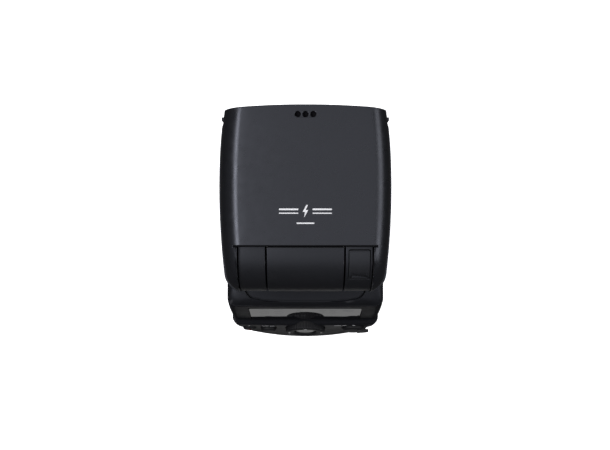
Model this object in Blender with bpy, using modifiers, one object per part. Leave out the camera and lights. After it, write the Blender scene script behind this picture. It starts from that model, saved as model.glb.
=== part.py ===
"""A hot-shoe flash with a tilting, swivelling head.

Lengths are named in millimetres, and MM turns them into Blender's metres where a mesh is made.
+Z is up, the flash fires along +Y, and its display and buttons face -Y. The origin is the middle of
the underside of the shoe foot. The head tilts about an X axis through (AXIS_Y, AXIS_Z), and the neck
swivels about the Z axis through AXIS_Y. The control panel leans back by PANEL_TILT, and its pieces
are built in its own frame: X right, Y up the panel, Z out of it.
"""

import math

import bmesh
import bpy
from mathutils import Matrix, Vector

MM = 0.001
GAP = 0.3

# Head
AXIS_Y = 5.0
AXIS_Z = 102.0
HEAD_FRONT = 57.15
HEAD_HALF_WIDTH = 32.6
HEAD_WIDEST_Y = 28.0
HEAD_NARROWING = 0.0017
HEAD_UP = 20.0
HEAD_DOWN = 23.0
HEAD_CROWN = 0.8
NOSE_DROP = 1.2
NOSE_START = 40.0
SHOULDER = 8.5
CHEEK_BACK = 18.4
REAR_CORNER = 7.0
CHEEK_DOWN = 18.4
BOTTOM_START = 17.0
SIDE_BULGE = 1.4
FRONT_SWEEP = 1.2
FRONT_CORNER = 1.0
COVER_WALL = 1.8
SEAM_HALF_GAP = 0.15

# Hinge
BARREL_RADIUS = 17.8
BARREL_WALL = 2.0
NECK_HALF = 14.3
HUB_START = 14.9
HUB_END = 24.9
CHANNEL_HALF = 25.2
CHANNEL_RADIUS = 18.2
CHANNEL_WALL = 1.6
AXLE_RADIUS = 4.0
AXLE_BORE = 2.4
BUTTON_ANGLE = 24.0

# Light
LENS_HALF = 27.2
LENS_LOW = 82.8
LENS_HIGH = 114.6
LIGHT_Z = 98.5
REFLECTOR_BACK = 30.0
REFLECTOR_DEPTH = 12.0
REFLECTOR_HALF_HEIGHT = 13.0
REFLECTOR_HALF_LENGTH = 24.4
TUBE_RADIUS = 2.1
TUBE_Y = 33.6
RAIL_Z = 84.0
RAIL_HALF_SPAN = 24.0
SCREW_X = 12.0
SCREW_PITCH = 4.0
SCREW_RADIUS = 1.3

# Body
PANEL_TILT = math.radians(19.5)
PANEL_TOP_Y = -22.4
PANEL_TOP_Z = 71.5
PANEL_ORIGIN_Z = 30.0
PANEL_ORIGIN_Y = PANEL_TOP_Y - (PANEL_TOP_Z - PANEL_ORIGIN_Z) * math.tan(PANEL_TILT)
CASE_WALL = 2.0
CASE_WIDTHS = ((17.0, 31.4), (30.0, 33.0), (46.2, 33.7), (47.4, 33.7), (60.0, 33.9), (71.0, 33.6))
BACK_RADIUS = 3.4
FRONT_RADIUS = 9.0
BOW = 3.2
SWELL_LOW, SWELL_HIGH = 1.15, 2.1
SWELL_TOP_Z, SWELL_END_Z = 46.2, 47.4
REAR_DEPTH = 8.0
REAR_SEAM_Z = 71.8
DECK_Z = 75.0
PLATEAU_Z = 76.2
PLATEAU_HALF = 25.3
PLATEAU_BACK = -19.3
TURNTABLE_RADIUS = 19.5
TURNTABLE_BORE = 9.4
WINDOW_HALF = 24.6
WINDOW_LOW = 19.1
WINDOW_HIGH = 40.3

# Controls: how far their row is up the panel and out of it, then each one's place and radius
CONTROLS_UP = 8.4
CONTROLS_OUT = 1.8
DIAL_X, DIAL_RADIUS = 0.0, 9.2
SET_RADIUS = 4.9
TEST_X, TEST_RADIUS, TEST_SINK = -26.4, 3.1, 0.5
MODE_X, MODE_RADIUS = -17.4, 3.6
POWER_X, POWER_RADIUS = 22.6, 5.2

# Battery compartment
CELL_RADIUS = 7.1
CELL_LENGTH = 50.5
CELL_START_X = -24.3
CELL_YS = (-9.5, 5.5)
CELL_ZS = (25.5, 40.5)
DOOR_BACK, DOOR_FRONT = -18.3, 14.3
DOOR_TOP = 49.0
DOOR_INNER_X = -29.0
DOOR_AXIS_X = -31.2
DOOR_AXIS_Z = 17.6
KNUCKLE_RADIUS = 1.6
HINGE_PIN_RADIUS = 0.7

# Foot
FOOT_HALF_WIDTH = 9.3
FOOT_HALF_LENGTH = 9.0
FOOT_PLATE = 2.0
FOOT_NECK_HALF = 6.2
FOOT_NECK_TOP = 4.3
CONTACT_PINS = ((0.0, 0.0), (-3.1, -2.8), (3.1, -2.8), (-3.1, 2.8), (3.1, 2.8))
CONTACT_RADIUS = 0.8
LOCK_PIN_Y = 7.0
LEVER_RADIUS = 12.6
LEVER_START_DEG = -35.0

PARTS = bpy.data.collections.new("shoe_flash")
CUTTERS = bpy.data.collections.new("cutters")
FINISHES = {}


# ---------------------------------------------------------------- scene and finishes

def clear_scene():
    for obj in list(bpy.data.objects):
        bpy.data.objects.remove(obj)
    for group in (PARTS, CUTTERS):
        bpy.context.scene.collection.children.link(group)


def make_finish(name, colour, roughness, metallic=0.0, alpha=1.0):
    finish = bpy.data.materials.new(name)
    finish.use_nodes = True
    shader = finish.node_tree.nodes["Principled BSDF"]
    shader.inputs["Base Color"].default_value = (*colour, 1.0)
    shader.inputs["Roughness"].default_value = roughness
    shader.inputs["Metallic"].default_value = metallic
    shader.inputs["Alpha"].default_value = alpha
    FINISHES[name] = finish


def make_finishes():
    make_finish("case_plastic", (0.045, 0.046, 0.052), 0.5)
    make_finish("barrel_plastic", (0.03, 0.031, 0.036), 0.5)
    make_finish("gloss_plastic", (0.012, 0.012, 0.014), 0.15)
    make_finish("inner_plastic", (0.06, 0.06, 0.06), 0.6)
    make_finish("white_plastic", (0.85, 0.85, 0.83), 0.5)
    make_finish("clear_plastic", (0.9, 0.92, 0.94), 0.05, alpha=0.4)
    make_finish("red_window", (0.12, 0.01, 0.015), 0.1)
    make_finish("button_rubber", (0.02, 0.02, 0.022), 0.6)
    make_finish("display", (0.42, 0.43, 0.42), 0.4)
    make_finish("circuit_board", (0.02, 0.12, 0.05), 0.5)
    make_finish("capacitor_sleeve", (0.015, 0.015, 0.03), 0.35)
    make_finish("cell_wrap", (0.5, 0.5, 0.52), 0.35)
    make_finish("steel", (0.6, 0.6, 0.62), 0.3, 1.0)
    make_finish("brass", (0.75, 0.55, 0.25), 0.3, 1.0)
    make_finish("mirror_metal", (0.85, 0.85, 0.86), 0.1, 1.0)


# ---------------------------------------------------------------- shapes

def add_solid(name, bm, finish, parent=None):
    """A bmesh in millimetres becomes an object in metres."""
    bmesh.ops.scale(bm, vec=(MM, MM, MM), verts=bm.verts)
    mesh = bpy.data.meshes.new(name)
    bm.to_mesh(mesh)
    bm.free()
    mesh.materials.append(FINISHES[finish])
    mesh.shade_smooth()
    mesh.set_sharp_from_angle(angle=math.radians(32))
    obj = bpy.data.objects.new(name, mesh)
    PARTS.objects.link(obj)
    obj.parent = parent
    return obj


def make_frame(name, place, rotation=(0.0, 0.0, 0.0), parent=None):
    """An empty that other pieces are parented to."""
    frame = bpy.data.objects.new(name, None)
    PARTS.objects.link(frame)
    frame.parent = parent
    frame.location = Vector(place) * MM
    frame.rotation_euler = rotation
    return frame


def as_cutter(obj):
    PARTS.objects.unlink(obj)
    CUTTERS.objects.link(obj)
    obj.hide_render = True
    obj.display_type = "WIRE"
    return obj


def boolean(obj, other, operation):
    modifier = obj.modifiers.new(operation.lower(), "BOOLEAN")
    modifier.operation = operation
    modifier.object = other
    return obj


def cut(obj, *cutters):
    for cutter in cutters:
        boolean(obj, cutter, "DIFFERENCE")
    return obj


def join(obj, *others):
    for other in others:
        boolean(obj, other, "UNION")
    return obj


def round_edges(obj, width, segments=2):
    modifier = obj.modifiers.new("rounded edges", "BEVEL")
    modifier.width = width * MM
    modifier.segments = segments
    modifier.limit_method = "ANGLE"
    modifier.angle_limit = math.radians(40)
    return obj


def box(name, low, high, finish, parent=None):
    low, high = Vector(low), Vector(high)
    bm = bmesh.new()
    bmesh.ops.create_cube(bm, size=1.0)
    bmesh.ops.scale(bm, vec=high - low, verts=bm.verts)
    bmesh.ops.translate(bm, vec=(low + high) / 2, verts=bm.verts)
    return add_solid(name, bm, finish, parent)


def rod(name, start, end, radius, finish, parent=None, sides=24, end_radius=None):
    """A round bar, or a cone, from start to end."""
    start, end = Vector(start), Vector(end)
    along = end - start
    place = Matrix.Translation((start + end) / 2) @ along.to_track_quat("Z", "Y").to_matrix().to_4x4()
    bm = bmesh.new()
    bmesh.ops.create_cone(
        bm, cap_ends=True, segments=sides, radius1=radius,
        radius2=radius if end_radius is None else end_radius, depth=along.length, matrix=place,
    )
    return add_solid(name, bm, finish, parent)


def prism(name, outline, low, high, finish, parent=None, plane="XY"):
    """A flat outline given thickness from low to high, along the axis that the plane leaves out."""
    curve = bpy.data.curves.new(name, "CURVE")
    curve.dimensions = "2D"
    curve.fill_mode = "BOTH"
    curve.extrude = (high - low) / 2
    spline = curve.splines.new("POLY")
    spline.points.add(len(outline) - 1)
    for point, (across, up) in zip(spline.points, outline):
        point.co = (across, up, 0.0, 1.0)
    spline.use_cyclic_u = True
    flat = bpy.data.objects.new(name, curve)
    PARTS.objects.link(flat)
    bpy.context.view_layer.update()
    mesh = bpy.data.meshes.new_from_object(flat.evaluated_get(bpy.context.evaluated_depsgraph_get()))
    bm = bmesh.new()
    bm.from_mesh(mesh)
    bpy.data.objects.remove(flat)
    bpy.data.curves.remove(curve)
    bpy.data.meshes.remove(mesh)
    bmesh.ops.remove_doubles(bm, verts=bm.verts, dist=0.001)
    bmesh.ops.translate(bm, vec=(0, 0, (low + high) / 2), verts=bm.verts)
    turn = {
        "XY": Matrix.Identity(3),
        "XZ": Matrix(((1, 0, 0), (0, 0, 1), (0, 1, 0))),
        "YZ": Matrix(((0, 0, 1), (1, 0, 0), (0, 1, 0))),
    }[plane]
    bmesh.ops.transform(bm, matrix=turn.to_4x4(), verts=bm.verts)
    bmesh.ops.recalc_face_normals(bm, faces=bm.faces)
    return add_solid(name, bm, finish, parent)


def turned(name, profile, finish, parent=None, along_x=False, steps=32):
    """A profile of (radius, height) points, down its outer side, turned about Z, or about X."""
    bm = bmesh.new()
    corners = [bm.verts.new((radius, 0, height)) for radius, height in profile]
    for first, second in zip(corners, corners[1:] + corners[:1]):
        if first.co.x > 0 or second.co.x > 0:
            bm.edges.new((first, second))
    if along_x:
        bmesh.ops.rotate(bm, matrix=Matrix.Rotation(math.radians(90), 3, "Y"), verts=bm.verts)
    obj = add_solid(name, bm, finish, parent)
    screw = obj.modifiers.new("turned", "SCREW")
    screw.axis = "X" if along_x else "Z"
    screw.steps = steps
    screw.render_steps = steps
    screw.use_merge_vertices = True
    screw.merge_threshold = 0.00001
    screw.use_normal_calculate = False
    return obj


def loft(name, sections, finish):
    """A skin through sections of equally many points, closed at both ends."""
    bm = bmesh.new()
    rings = [[bm.verts.new(point) for point in section] for section in sections]
    for ring, following in zip(rings, rings[1:]):
        for i in range(len(ring)):
            j = (i + 1) % len(ring)
            bm.faces.new((ring[i], ring[j], following[j], following[i]))
    bm.faces.new(rings[0])
    bm.faces.new(rings[-1])
    bmesh.ops.recalc_face_normals(bm, faces=bm.faces)
    return add_solid(name, bm, finish)


def arc(centre, radii, start_deg, end_deg, count):
    """Points on an ellipse's arc, both ends included."""
    points = []
    for i in range(count):
        angle = math.radians(start_deg + (end_deg - start_deg) * i / (count - 1))
        points.append((centre[0] + radii[0] * math.cos(angle), centre[1] + radii[1] * math.sin(angle)))
    return points


def rounded_rectangle(low, high, radius, count=5):
    (x0, y0), (x1, y1) = low, high
    corners = (
        ((x1 - radius, y0 + radius), -90), ((x1 - radius, y1 - radius), 0),
        ((x0 + radius, y1 - radius), 90), ((x0 + radius, y0 + radius), 180),
    )
    return [p for centre, start in corners for p in arc(centre, (radius, radius), start, start + 90, count)]


def smooth_step(value, low, high):
    share = min(1.0, max(0.0, (value - low) / (high - low)))
    return share * share * (3 - 2 * share)


# ---------------------------------------------------------------- head shell

def head_half_width(y):
    """Seen from above, the head's rear corners are round."""
    past = min(REAR_CORNER, max(0.0, AXIS_Y - CHEEK_BACK + REAR_CORNER - y))
    corner = REAR_CORNER - math.sqrt(REAR_CORNER ** 2 - past ** 2)
    return HEAD_HALF_WIDTH - HEAD_NARROWING * (y - HEAD_WIDEST_Y) ** 2 - corner


def cheek_share(y, inset):
    """1 in front of the tilt axis, falling to 0 along an ellipse behind it."""
    back = min(1.0, max(0.0, (AXIS_Y - y) / (CHEEK_BACK - inset)))
    return math.sqrt(1 - back * back)


def top_height(y, inset):
    nose = NOSE_DROP * max(0.0, (y - NOSE_START) / (HEAD_FRONT - NOSE_START)) ** 2
    return (HEAD_UP - inset - nose) * cheek_share(y, inset)


def bottom_height(y, inset):
    depth = CHEEK_DOWN + (HEAD_DOWN - CHEEK_DOWN) * smooth_step(y, AXIS_Y, BOTTOM_START)
    return (depth - inset) * cheek_share(y, inset)


def swept(x, y, z):
    """The head's nose curves back towards its sides."""
    nose = smooth_step(y, NOSE_START, HEAD_FRONT)
    back = FRONT_SWEEP * (x / 30) ** 2 + FRONT_CORNER * smooth_step(abs(x), 30, 34)
    return (x, y - back * nose, z)


def top_side(y, inset):
    """(x, z) up the right side of the top cover, from the seam to the crown."""
    width = head_half_width(y) - inset
    height = top_height(y, inset)
    radius = SHOULDER - inset
    crown = HEAD_CROWN * cheek_share(y, inset)
    side = [(width, 0.0), (width - 0.3, 0.3 * height)]
    side += arc((width - 0.7 - radius, 0.575 * height), (radius, 0.425 * height), 0, 90, 6)
    flat = side[-1][0]
    side += [(flat * share, height + crown * (1 - share ** 2)) for share in (0.66, 0.33)]
    return [(x, AXIS_Z + SEAM_HALF_GAP + z) for x, z in side]


def bottom_side(y, inset):
    """(x, z) down the right side of the bottom cover, from the seam to the flat underside."""
    width = head_half_width(y) - inset
    height = bottom_height(y, inset)
    bulge = SIDE_BULGE - (SIDE_BULGE - 0.5) * smooth_step(y, 53, 56)
    side = [(width + 0.35 * bulge, 0.0), (width + 0.9 * bulge, 0.16), (width + bulge, 0.32), (width + 0.6 * bulge, 0.54)]
    side += arc((width - 6.9 + inset, 0.7), (7.0 - inset, 0.3), 0, 90, 5)
    return [(x, AXIS_Z - SEAM_HALF_GAP - share * height) for x, share in side]


def mirrored(side):
    return side + [(-x, z) for x, z in reversed(side)]


def head_section(y, side_of, inset, seam_shift=0.0):
    side = side_of(y, inset)
    if seam_shift:
        side = [(side[0][0], side[0][1] + seam_shift)] + side
    section = mirrored(side)
    return [swept(x, y, z) for x, z in section]


def head_stations(inset, front):
    """Where the head's sections stand: closer together round the cheeks."""
    cheeks = [AXIS_Y - (CHEEK_BACK - inset) * math.sin(math.radians(a)) for a in (86, 75, 60, 45, 30, 15)]
    return cheeks + [AXIS_Y, 11, 17, 26, 34, 40, 46, 50, 54, front]


def head_cavity(name, side_of, seam_shift):
    """The space inside one cover, clear of the hinge channel's wall."""
    cavity = loft(
        name, [head_section(y, side_of, COVER_WALL, seam_shift) for y in head_stations(COVER_WALL, HEAD_FRONT + 3)],
        "inner_plastic",
    )
    half = CHANNEL_HALF + COVER_WALL
    wall = as_cutter(rod(
        name + "_channel_wall", (-half, AXIS_Y, AXIS_Z), (half, AXIS_Y, AXIS_Z), CHANNEL_RADIUS + CHANNEL_WALL,
        "inner_plastic", sides=40,
    ))
    heel = as_cutter(box(name + "_heel", (-half, -30, 70), (half, BOTTOM_START + 1.3, AXIS_Z), "inner_plastic"))
    cut(cavity, wall, heel)
    return as_cutter(cavity)


def head_covers():
    channel = as_cutter(rod(
        "hinge_channel", (-CHANNEL_HALF, AXIS_Y, AXIS_Z), (CHANNEL_HALF, AXIS_Y, AXIS_Z), CHANNEL_RADIUS,
        "inner_plastic", sides=40,
    ))
    behind_top = as_cutter(box(
        "behind_top_edge", (-CHANNEL_HALF, -30, 90), (CHANNEL_HALF, AXIS_Y, 130), "inner_plastic"))
    behind_bottom = as_cutter(box(
        "behind_bottom_edge", (-CHANNEL_HALF, -30, 70), (CHANNEL_HALF, BOTTOM_START - 0.5, 103), "inner_plastic"))

    top = loft(
        "head_top_cover", [head_section(y, top_side, 0.0) for y in head_stations(0.0, HEAD_FRONT)], "case_plastic")
    cut(top, head_cavity("top_cavity", top_side, -3.0), channel, behind_top)
    for i in (-1, 0, 1):
        dot = rod(f"grip_dot_{i}", (2.83 * i, 53.5, 120.9), (2.83 * i, 53.5, 126), 1.05, "inner_plastic", sides=12)
        cut(top, as_cutter(dot))

    bottom = loft(
        "head_bottom_cover", [head_section(y, bottom_side, 0.0) for y in head_stations(0.0, HEAD_FRONT)],
        "case_plastic",
    )
    for side, low, high in (("left", -32.95, -30.2), ("right", 30.2, 32.95)):
        join(bottom, as_cutter(box(f"{side}_lug", (low, 53.9, 92.5), (high, 55.4, 100.5), "case_plastic")))
    cut(bottom, head_cavity("bottom_cavity", bottom_side, 3.0), channel, behind_bottom)


def front_curve(half, y_front, steps=8):
    """(x, y) along the nose's curve, from left to right."""
    points = []
    for i in range(steps + 1):
        x = half * (2 * i / steps - 1)
        points.append((x, swept(x, y_front, 0)[1]))
    return points


def head_front():
    """The bezel that closes the covers' front, and the lens that it holds."""
    inset = COVER_WALL + GAP
    sections = []
    for y in (50.5, 54.0, HEAD_FRONT - 0.8):
        right = list(reversed(bottom_side(y, inset))) + top_side(y, inset)
        outline = right + [(-x, z) for x, z in reversed(right)]
        sections.append([swept(x, y, z) for x, z in outline])
    bezel = loft("front_bezel", sections, "gloss_plastic")
    window = prism(
        "bezel_window", rounded_rectangle((-LENS_HALF - GAP, LENS_LOW - GAP), (LENS_HALF + GAP, LENS_HIGH + GAP), 0.6, 3),
        40, 60, "inner_plastic", plane="XZ",
    )
    slot = box("panel_slot", (-27.2, 40, LENS_HIGH + 1.4), (27.2, 62, 125), "inner_plastic")
    cut(bezel, as_cutter(window), as_cutter(slot))

    lens = prism(
        "fresnel_panel",
        front_curve(LENS_HALF, HEAD_FRONT - 0.5) + list(reversed(front_curve(LENS_HALF, HEAD_FRONT - 2.7))),
        LENS_LOW, LENS_HIGH, "clear_plastic",
    )
    round_edges(lens, 0.4, 1)


def pull_out_panels():
    """The diffuser and the catchlight card share a slot under the top cover."""
    tray = [
        (-26.6, 115.9), (26.6, 115.9), (26.6, 117.5), (25.2, 117.5), (25.2, 116.5),
        (-25.2, 116.5), (-25.2, 117.5), (-26.6, 117.5),
    ]
    prism("panel_guide", tray, 21, 47.5, "inner_plastic", plane="XZ")
    edge = HEAD_FRONT - 0.6
    prism("wide_panel", front_curve(24.6, edge) + [(24.6, 21.5), (-24.6, 21.5)], 116.8, 117.9, "clear_plastic")
    prism("catchlight_panel", front_curve(19.0, edge) + [(19.0, 21.5), (-19.0, 21.5)], 118.2, 119.0, "white_plastic")


def parabola(shift, half_height, steps=10):
    """(y, z) across the reflector's trough, whose focus is where the tube lies."""
    depth_over_square = REFLECTOR_DEPTH / REFLECTOR_HALF_HEIGHT ** 2
    points = []
    for i in range(steps + 1):
        z = half_height * (2 * i / steps - 1)
        points.append((REFLECTOR_BACK + shift + depth_over_square * z * z, LIGHT_Z + z))
    return points


def zoom_unit():
    """The flash tube and reflector ride on a carriage that a lead screw moves along two rods."""
    half = REFLECTOR_HALF_LENGTH
    trough = parabola(0.0, REFLECTOR_HALF_HEIGHT)
    reflector = prism("reflector", trough, -half, half, "mirror_metal", plane="YZ")
    hollow = parabola(0.7, REFLECTOR_HALF_HEIGHT + 0.2)
    hollow = [(60.0, hollow[0][1])] + hollow + [(60.0, hollow[-1][1])]
    inside = as_cutter(prism("reflector_inside", hollow, -half + 0.6, half - 0.6, "mirror_metal", plane="YZ"))
    tube_bore = as_cutter(rod(
        "tube_bore", (-40, TUBE_Y, LIGHT_Z), (40, TUBE_Y, LIGHT_Z), TUBE_RADIUS + GAP, "mirror_metal", sides=20))
    cut(reflector, inside, tube_bore)
    rod("flash_tube", (-28.6, TUBE_Y, LIGHT_Z), (28.6, TUBE_Y, LIGHT_Z), TUBE_RADIUS, "clear_plastic", sides=20)

    arms = [
        (-27.6, 27.6), (27.6, 27.6), (27.6, 37.0), (25.2, 37.0), (25.2, 29.4), (-25.2, 29.4), (-25.2, 37.0),
        (-27.6, 37.0),
    ]
    carriage = prism("zoom_carriage", arms, 82.0, 107.0, "inner_plastic")
    for x in (-RAIL_HALF_SPAN, RAIL_HALF_SPAN):
        bore = rod(f"rail_bore_{x}", (x, 20, RAIL_Z), (x, 60, RAIL_Z), 1.25, "inner_plastic", sides=16)
        cut(carriage, as_cutter(bore))
    nut = rod("nut_bore", (SCREW_X, 20, RAIL_Z), (SCREW_X, 60, RAIL_Z), SCREW_RADIUS + GAP, "inner_plastic", sides=16)
    cut(carriage, as_cutter(nut), tube_bore)

    for side, x in (("left", -RAIL_HALF_SPAN), ("right", RAIL_HALF_SPAN)):
        rod(f"guide_rod_{side}", (x, 19.0, RAIL_Z), (x, 48.5, RAIL_Z), 1.0, "steel", sides=16)
    axis = make_frame("lead_screw_axis", (SCREW_X, 27.0, RAIL_Z))
    screw = rod("zoom_lead_screw", (0, 0, 0), (0, 21.5, 0), SCREW_RADIUS, "steel", axis, sides=12)
    flat = box("lead_screw_flat", (0.95, 16, -2), (3, 22, 2), "steel", axis)
    cut(screw, as_cutter(flat))
    rod("zoom_motor", (SCREW_X, 19.0, RAIL_Z), (SCREW_X, 26.6, RAIL_Z), 2.9, "steel", sides=24)
    box("head_board", (-23, 25.4, 90), (23, 26.6, 112), "circuit_board")


# ---------------------------------------------------------------- hinge and neck

def hinge_hubs():
    """Two cups that turn with the head. The right one holds the tilt release button."""
    tilt_frame = make_frame("tilt_axis", (0, AXIS_Y, AXIS_Z))
    outer, inner = BARREL_RADIUS - 0.1, BARREL_RADIUS - BARREL_WALL
    floor = HUB_START + BARREL_WALL
    bore = AXLE_RADIUS + GAP
    profile = [
        (bore, floor), (inner, floor), (inner, HUB_END), (outer, HUB_END), (outer, HUB_START), (bore, HUB_START),
    ]
    turned_round = make_frame("tilt_axis_turned", (0, AXIS_Y, AXIS_Z), (0, 0, math.pi))
    turned("hinge_hub_left", profile, "barrel_plastic", turned_round, along_x=True, steps=48)
    right_hub = turned("hinge_hub_right", profile, "barrel_plastic", tilt_frame, along_x=True, steps=48)

    angle = math.radians(BUTTON_ANGLE)
    button_frame = make_frame("tilt_release_axis", (0, 0, 0), (angle, 0, 0), tilt_frame)
    low, high = (16.2, -6.0, 11.0), (23.9, 6.0, 20.0)
    gap = Vector((GAP, GAP, 5.0))
    opening = box("release_opening", Vector(low) - gap, Vector(high) + gap, "inner_plastic", button_frame)
    cut(right_hub, as_cutter(opening))
    button = box("tilt_release_button", low, high, "barrel_plastic", button_frame)
    limit = as_cutter(rod("button_crown", (10, 0, 0), (30, 0, 0), BARREL_RADIUS + 0.1, "inner_plastic",
                          tilt_frame, sides=48))
    boolean(button, limit, "INTERSECT")


def neck():
    """Two half shells round the tilt axle, on a turntable that a ring holds to the case's deck."""
    axis = (AXIS_Y, AXIS_Z)
    stem = [(-8.5, 78.5), (15.5, 78.5), (14.5, 94), (-8.5, 94)]
    cavity = as_cutter(rod(
        "neck_cavity", (-NECK_HALF + BARREL_WALL, *axis), (NECK_HALF - BARREL_WALL, *axis),
        BARREL_RADIUS - BARREL_WALL, "inner_plastic", sides=48,
    ))
    axle_bore = as_cutter(rod("axle_bore", (-20, *axis), (20, *axis), AXLE_RADIUS + 0.05, "inner_plastic", sides=32))
    wire_way = as_cutter(rod("wire_way", (0, AXIS_Y, 70), (0, AXIS_Y, 95), 6.0, "inner_plastic"))
    halves = (
        ("neck_rear_shell", AXIS_Y - 0.15, AXIS_Y + 40),
        ("neck_front_shell", AXIS_Y - 40, AXIS_Y + 0.15),
    )
    for name, cut_from, cut_to in halves:
        shell = rod(name, (-NECK_HALF, *axis), (NECK_HALF, *axis), BARREL_RADIUS, "barrel_plastic", sides=48)
        column = as_cutter(prism(name + "_stem", stem, -13.0, 13.0, "barrel_plastic", plane="YZ"))
        join(shell, column)
        other_half = as_cutter(box(name + "_split", (-40, cut_from, 60), (40, cut_to, 140), "inner_plastic"))
        cut(shell, cavity, axle_bore, wire_way, other_half)

    axle = rod("tilt_axle", (-HUB_END + 0.4, *axis), (HUB_END - 0.4, *axis), AXLE_RADIUS, "steel", sides=32)
    hollow = rod("axle_hollow", (-40, *axis), (40, *axis), AXLE_BORE, "steel", sides=24)
    cut(axle, as_cutter(hollow))

    swivel_frame = make_frame("swivel_axis", (0, AXIS_Y, 0))
    turned(
        "turntable",
        [(6.3, 78.2), (TURNTABLE_RADIUS, 78.2), (TURNTABLE_RADIUS, 76.7), (9.0, 76.7), (9.0, 70.4), (6.3, 70.4)],
        "barrel_plastic", swivel_frame, steps=48,
    )
    turned("swivel_ring", [(9.3, 72.6), (12.8, 72.6), (12.8, 71.2), (9.3, 71.2)], "steel", swivel_frame)


# ---------------------------------------------------------------- case

def panel_y(z):
    return PANEL_TOP_Y - (PANEL_TOP_Z - z) * math.tan(PANEL_TILT)


def swell(z):
    """The case swells out below the display, where the controls are, and less towards its foot."""
    below = SWELL_LOW + (SWELL_HIGH - SWELL_LOW) * max(0.0, z - 17.0) / (SWELL_TOP_Z - 17.0)
    return below * min(1.0, max(0.0, (SWELL_END_Z - z) / (SWELL_END_Z - SWELL_TOP_Z)))


def case_section(z, half_width, back, front, inset=0.0):
    """An outline of the case at height z: bowed at the back, with round corners."""
    half_width -= inset
    back += inset - swell(z)
    front -= inset
    back_radius, front_radius = BACK_RADIUS - inset, FRONT_RADIUS - inset
    bow = 0.3 + BOW * smooth_step(-z, -46, -17)
    edge = half_width - back_radius

    def bowed(x):
        return back + bow * (x / 30) ** 2

    right = [(edge * share, bowed(edge * share)) for share in (0.25, 0.5, 0.75)]
    right += arc((edge, bowed(edge) + back_radius), (back_radius, back_radius), -90, 0, 6)
    right += arc((half_width - front_radius, front - front_radius), (front_radius, front_radius), 0, 90, 5)
    left = [(-x, y) for x, y in reversed(right)]
    return [(x, y, z) for x, y in right + left]


def case_front_y(z):
    return 16.0 + (z - 17.0) * 0.215


def case_sections(inset):
    """The case leans back, narrows a little to its foot, and is rounded at its deck and base."""
    sections = [case_section(z, half, panel_y(z), case_front_y(z), inset) for z, half in CASE_WIDTHS]
    base = (14.0, 28.5, panel_y(14) + 5.2, 12.0)
    base_round = (14.8, 30.4, panel_y(14.8) + 1.7, 14.6)
    deck_round = ((73.2, 32.6, panel_y(73.2) + 0.5, 27.3), (74.5, 31.0, panel_y(74.5) + 2.0, 26.0))
    deck = (DECK_Z, 28.8, panel_y(DECK_Z) + 4.4, 24.2)
    if inset:
        low = case_section(14.0 + CASE_WALL, 30.6, panel_y(17), case_front_y(17) - 0.7, inset)
        high = case_section(DECK_Z - CASE_WALL, 32.6, panel_y(73), 27.2, inset)
        return [low] + sections + [high]
    return [case_section(*base), case_section(*base_round)] + sections + [
        case_section(*level) for level in (*deck_round, deck)]


def panel_frame(name, x=0.0, y=0.0, z=0.0, parent=None):
    """A frame on the control panel: its own Z points out of the panel."""
    if parent is None:
        return make_frame(name, (x, PANEL_ORIGIN_Y, PANEL_ORIGIN_Z), (math.radians(90) - PANEL_TILT, 0, 0))
    return make_frame(name, (x, y, z), parent=parent)


def rear_zone(name, panel, margin):
    """All that the rear case takes up. The margin leaves the joint's gap in the front case."""
    zone = box(name, (-60, -60, -REAR_DEPTH - margin), (60, 80, 40), "inner_plastic", panel)
    above = box(name + "_above", (-60, -90, REAR_SEAM_Z + margin), (60, 60, 120), "inner_plastic")
    return as_cutter(cut(zone, as_cutter(above)))


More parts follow.
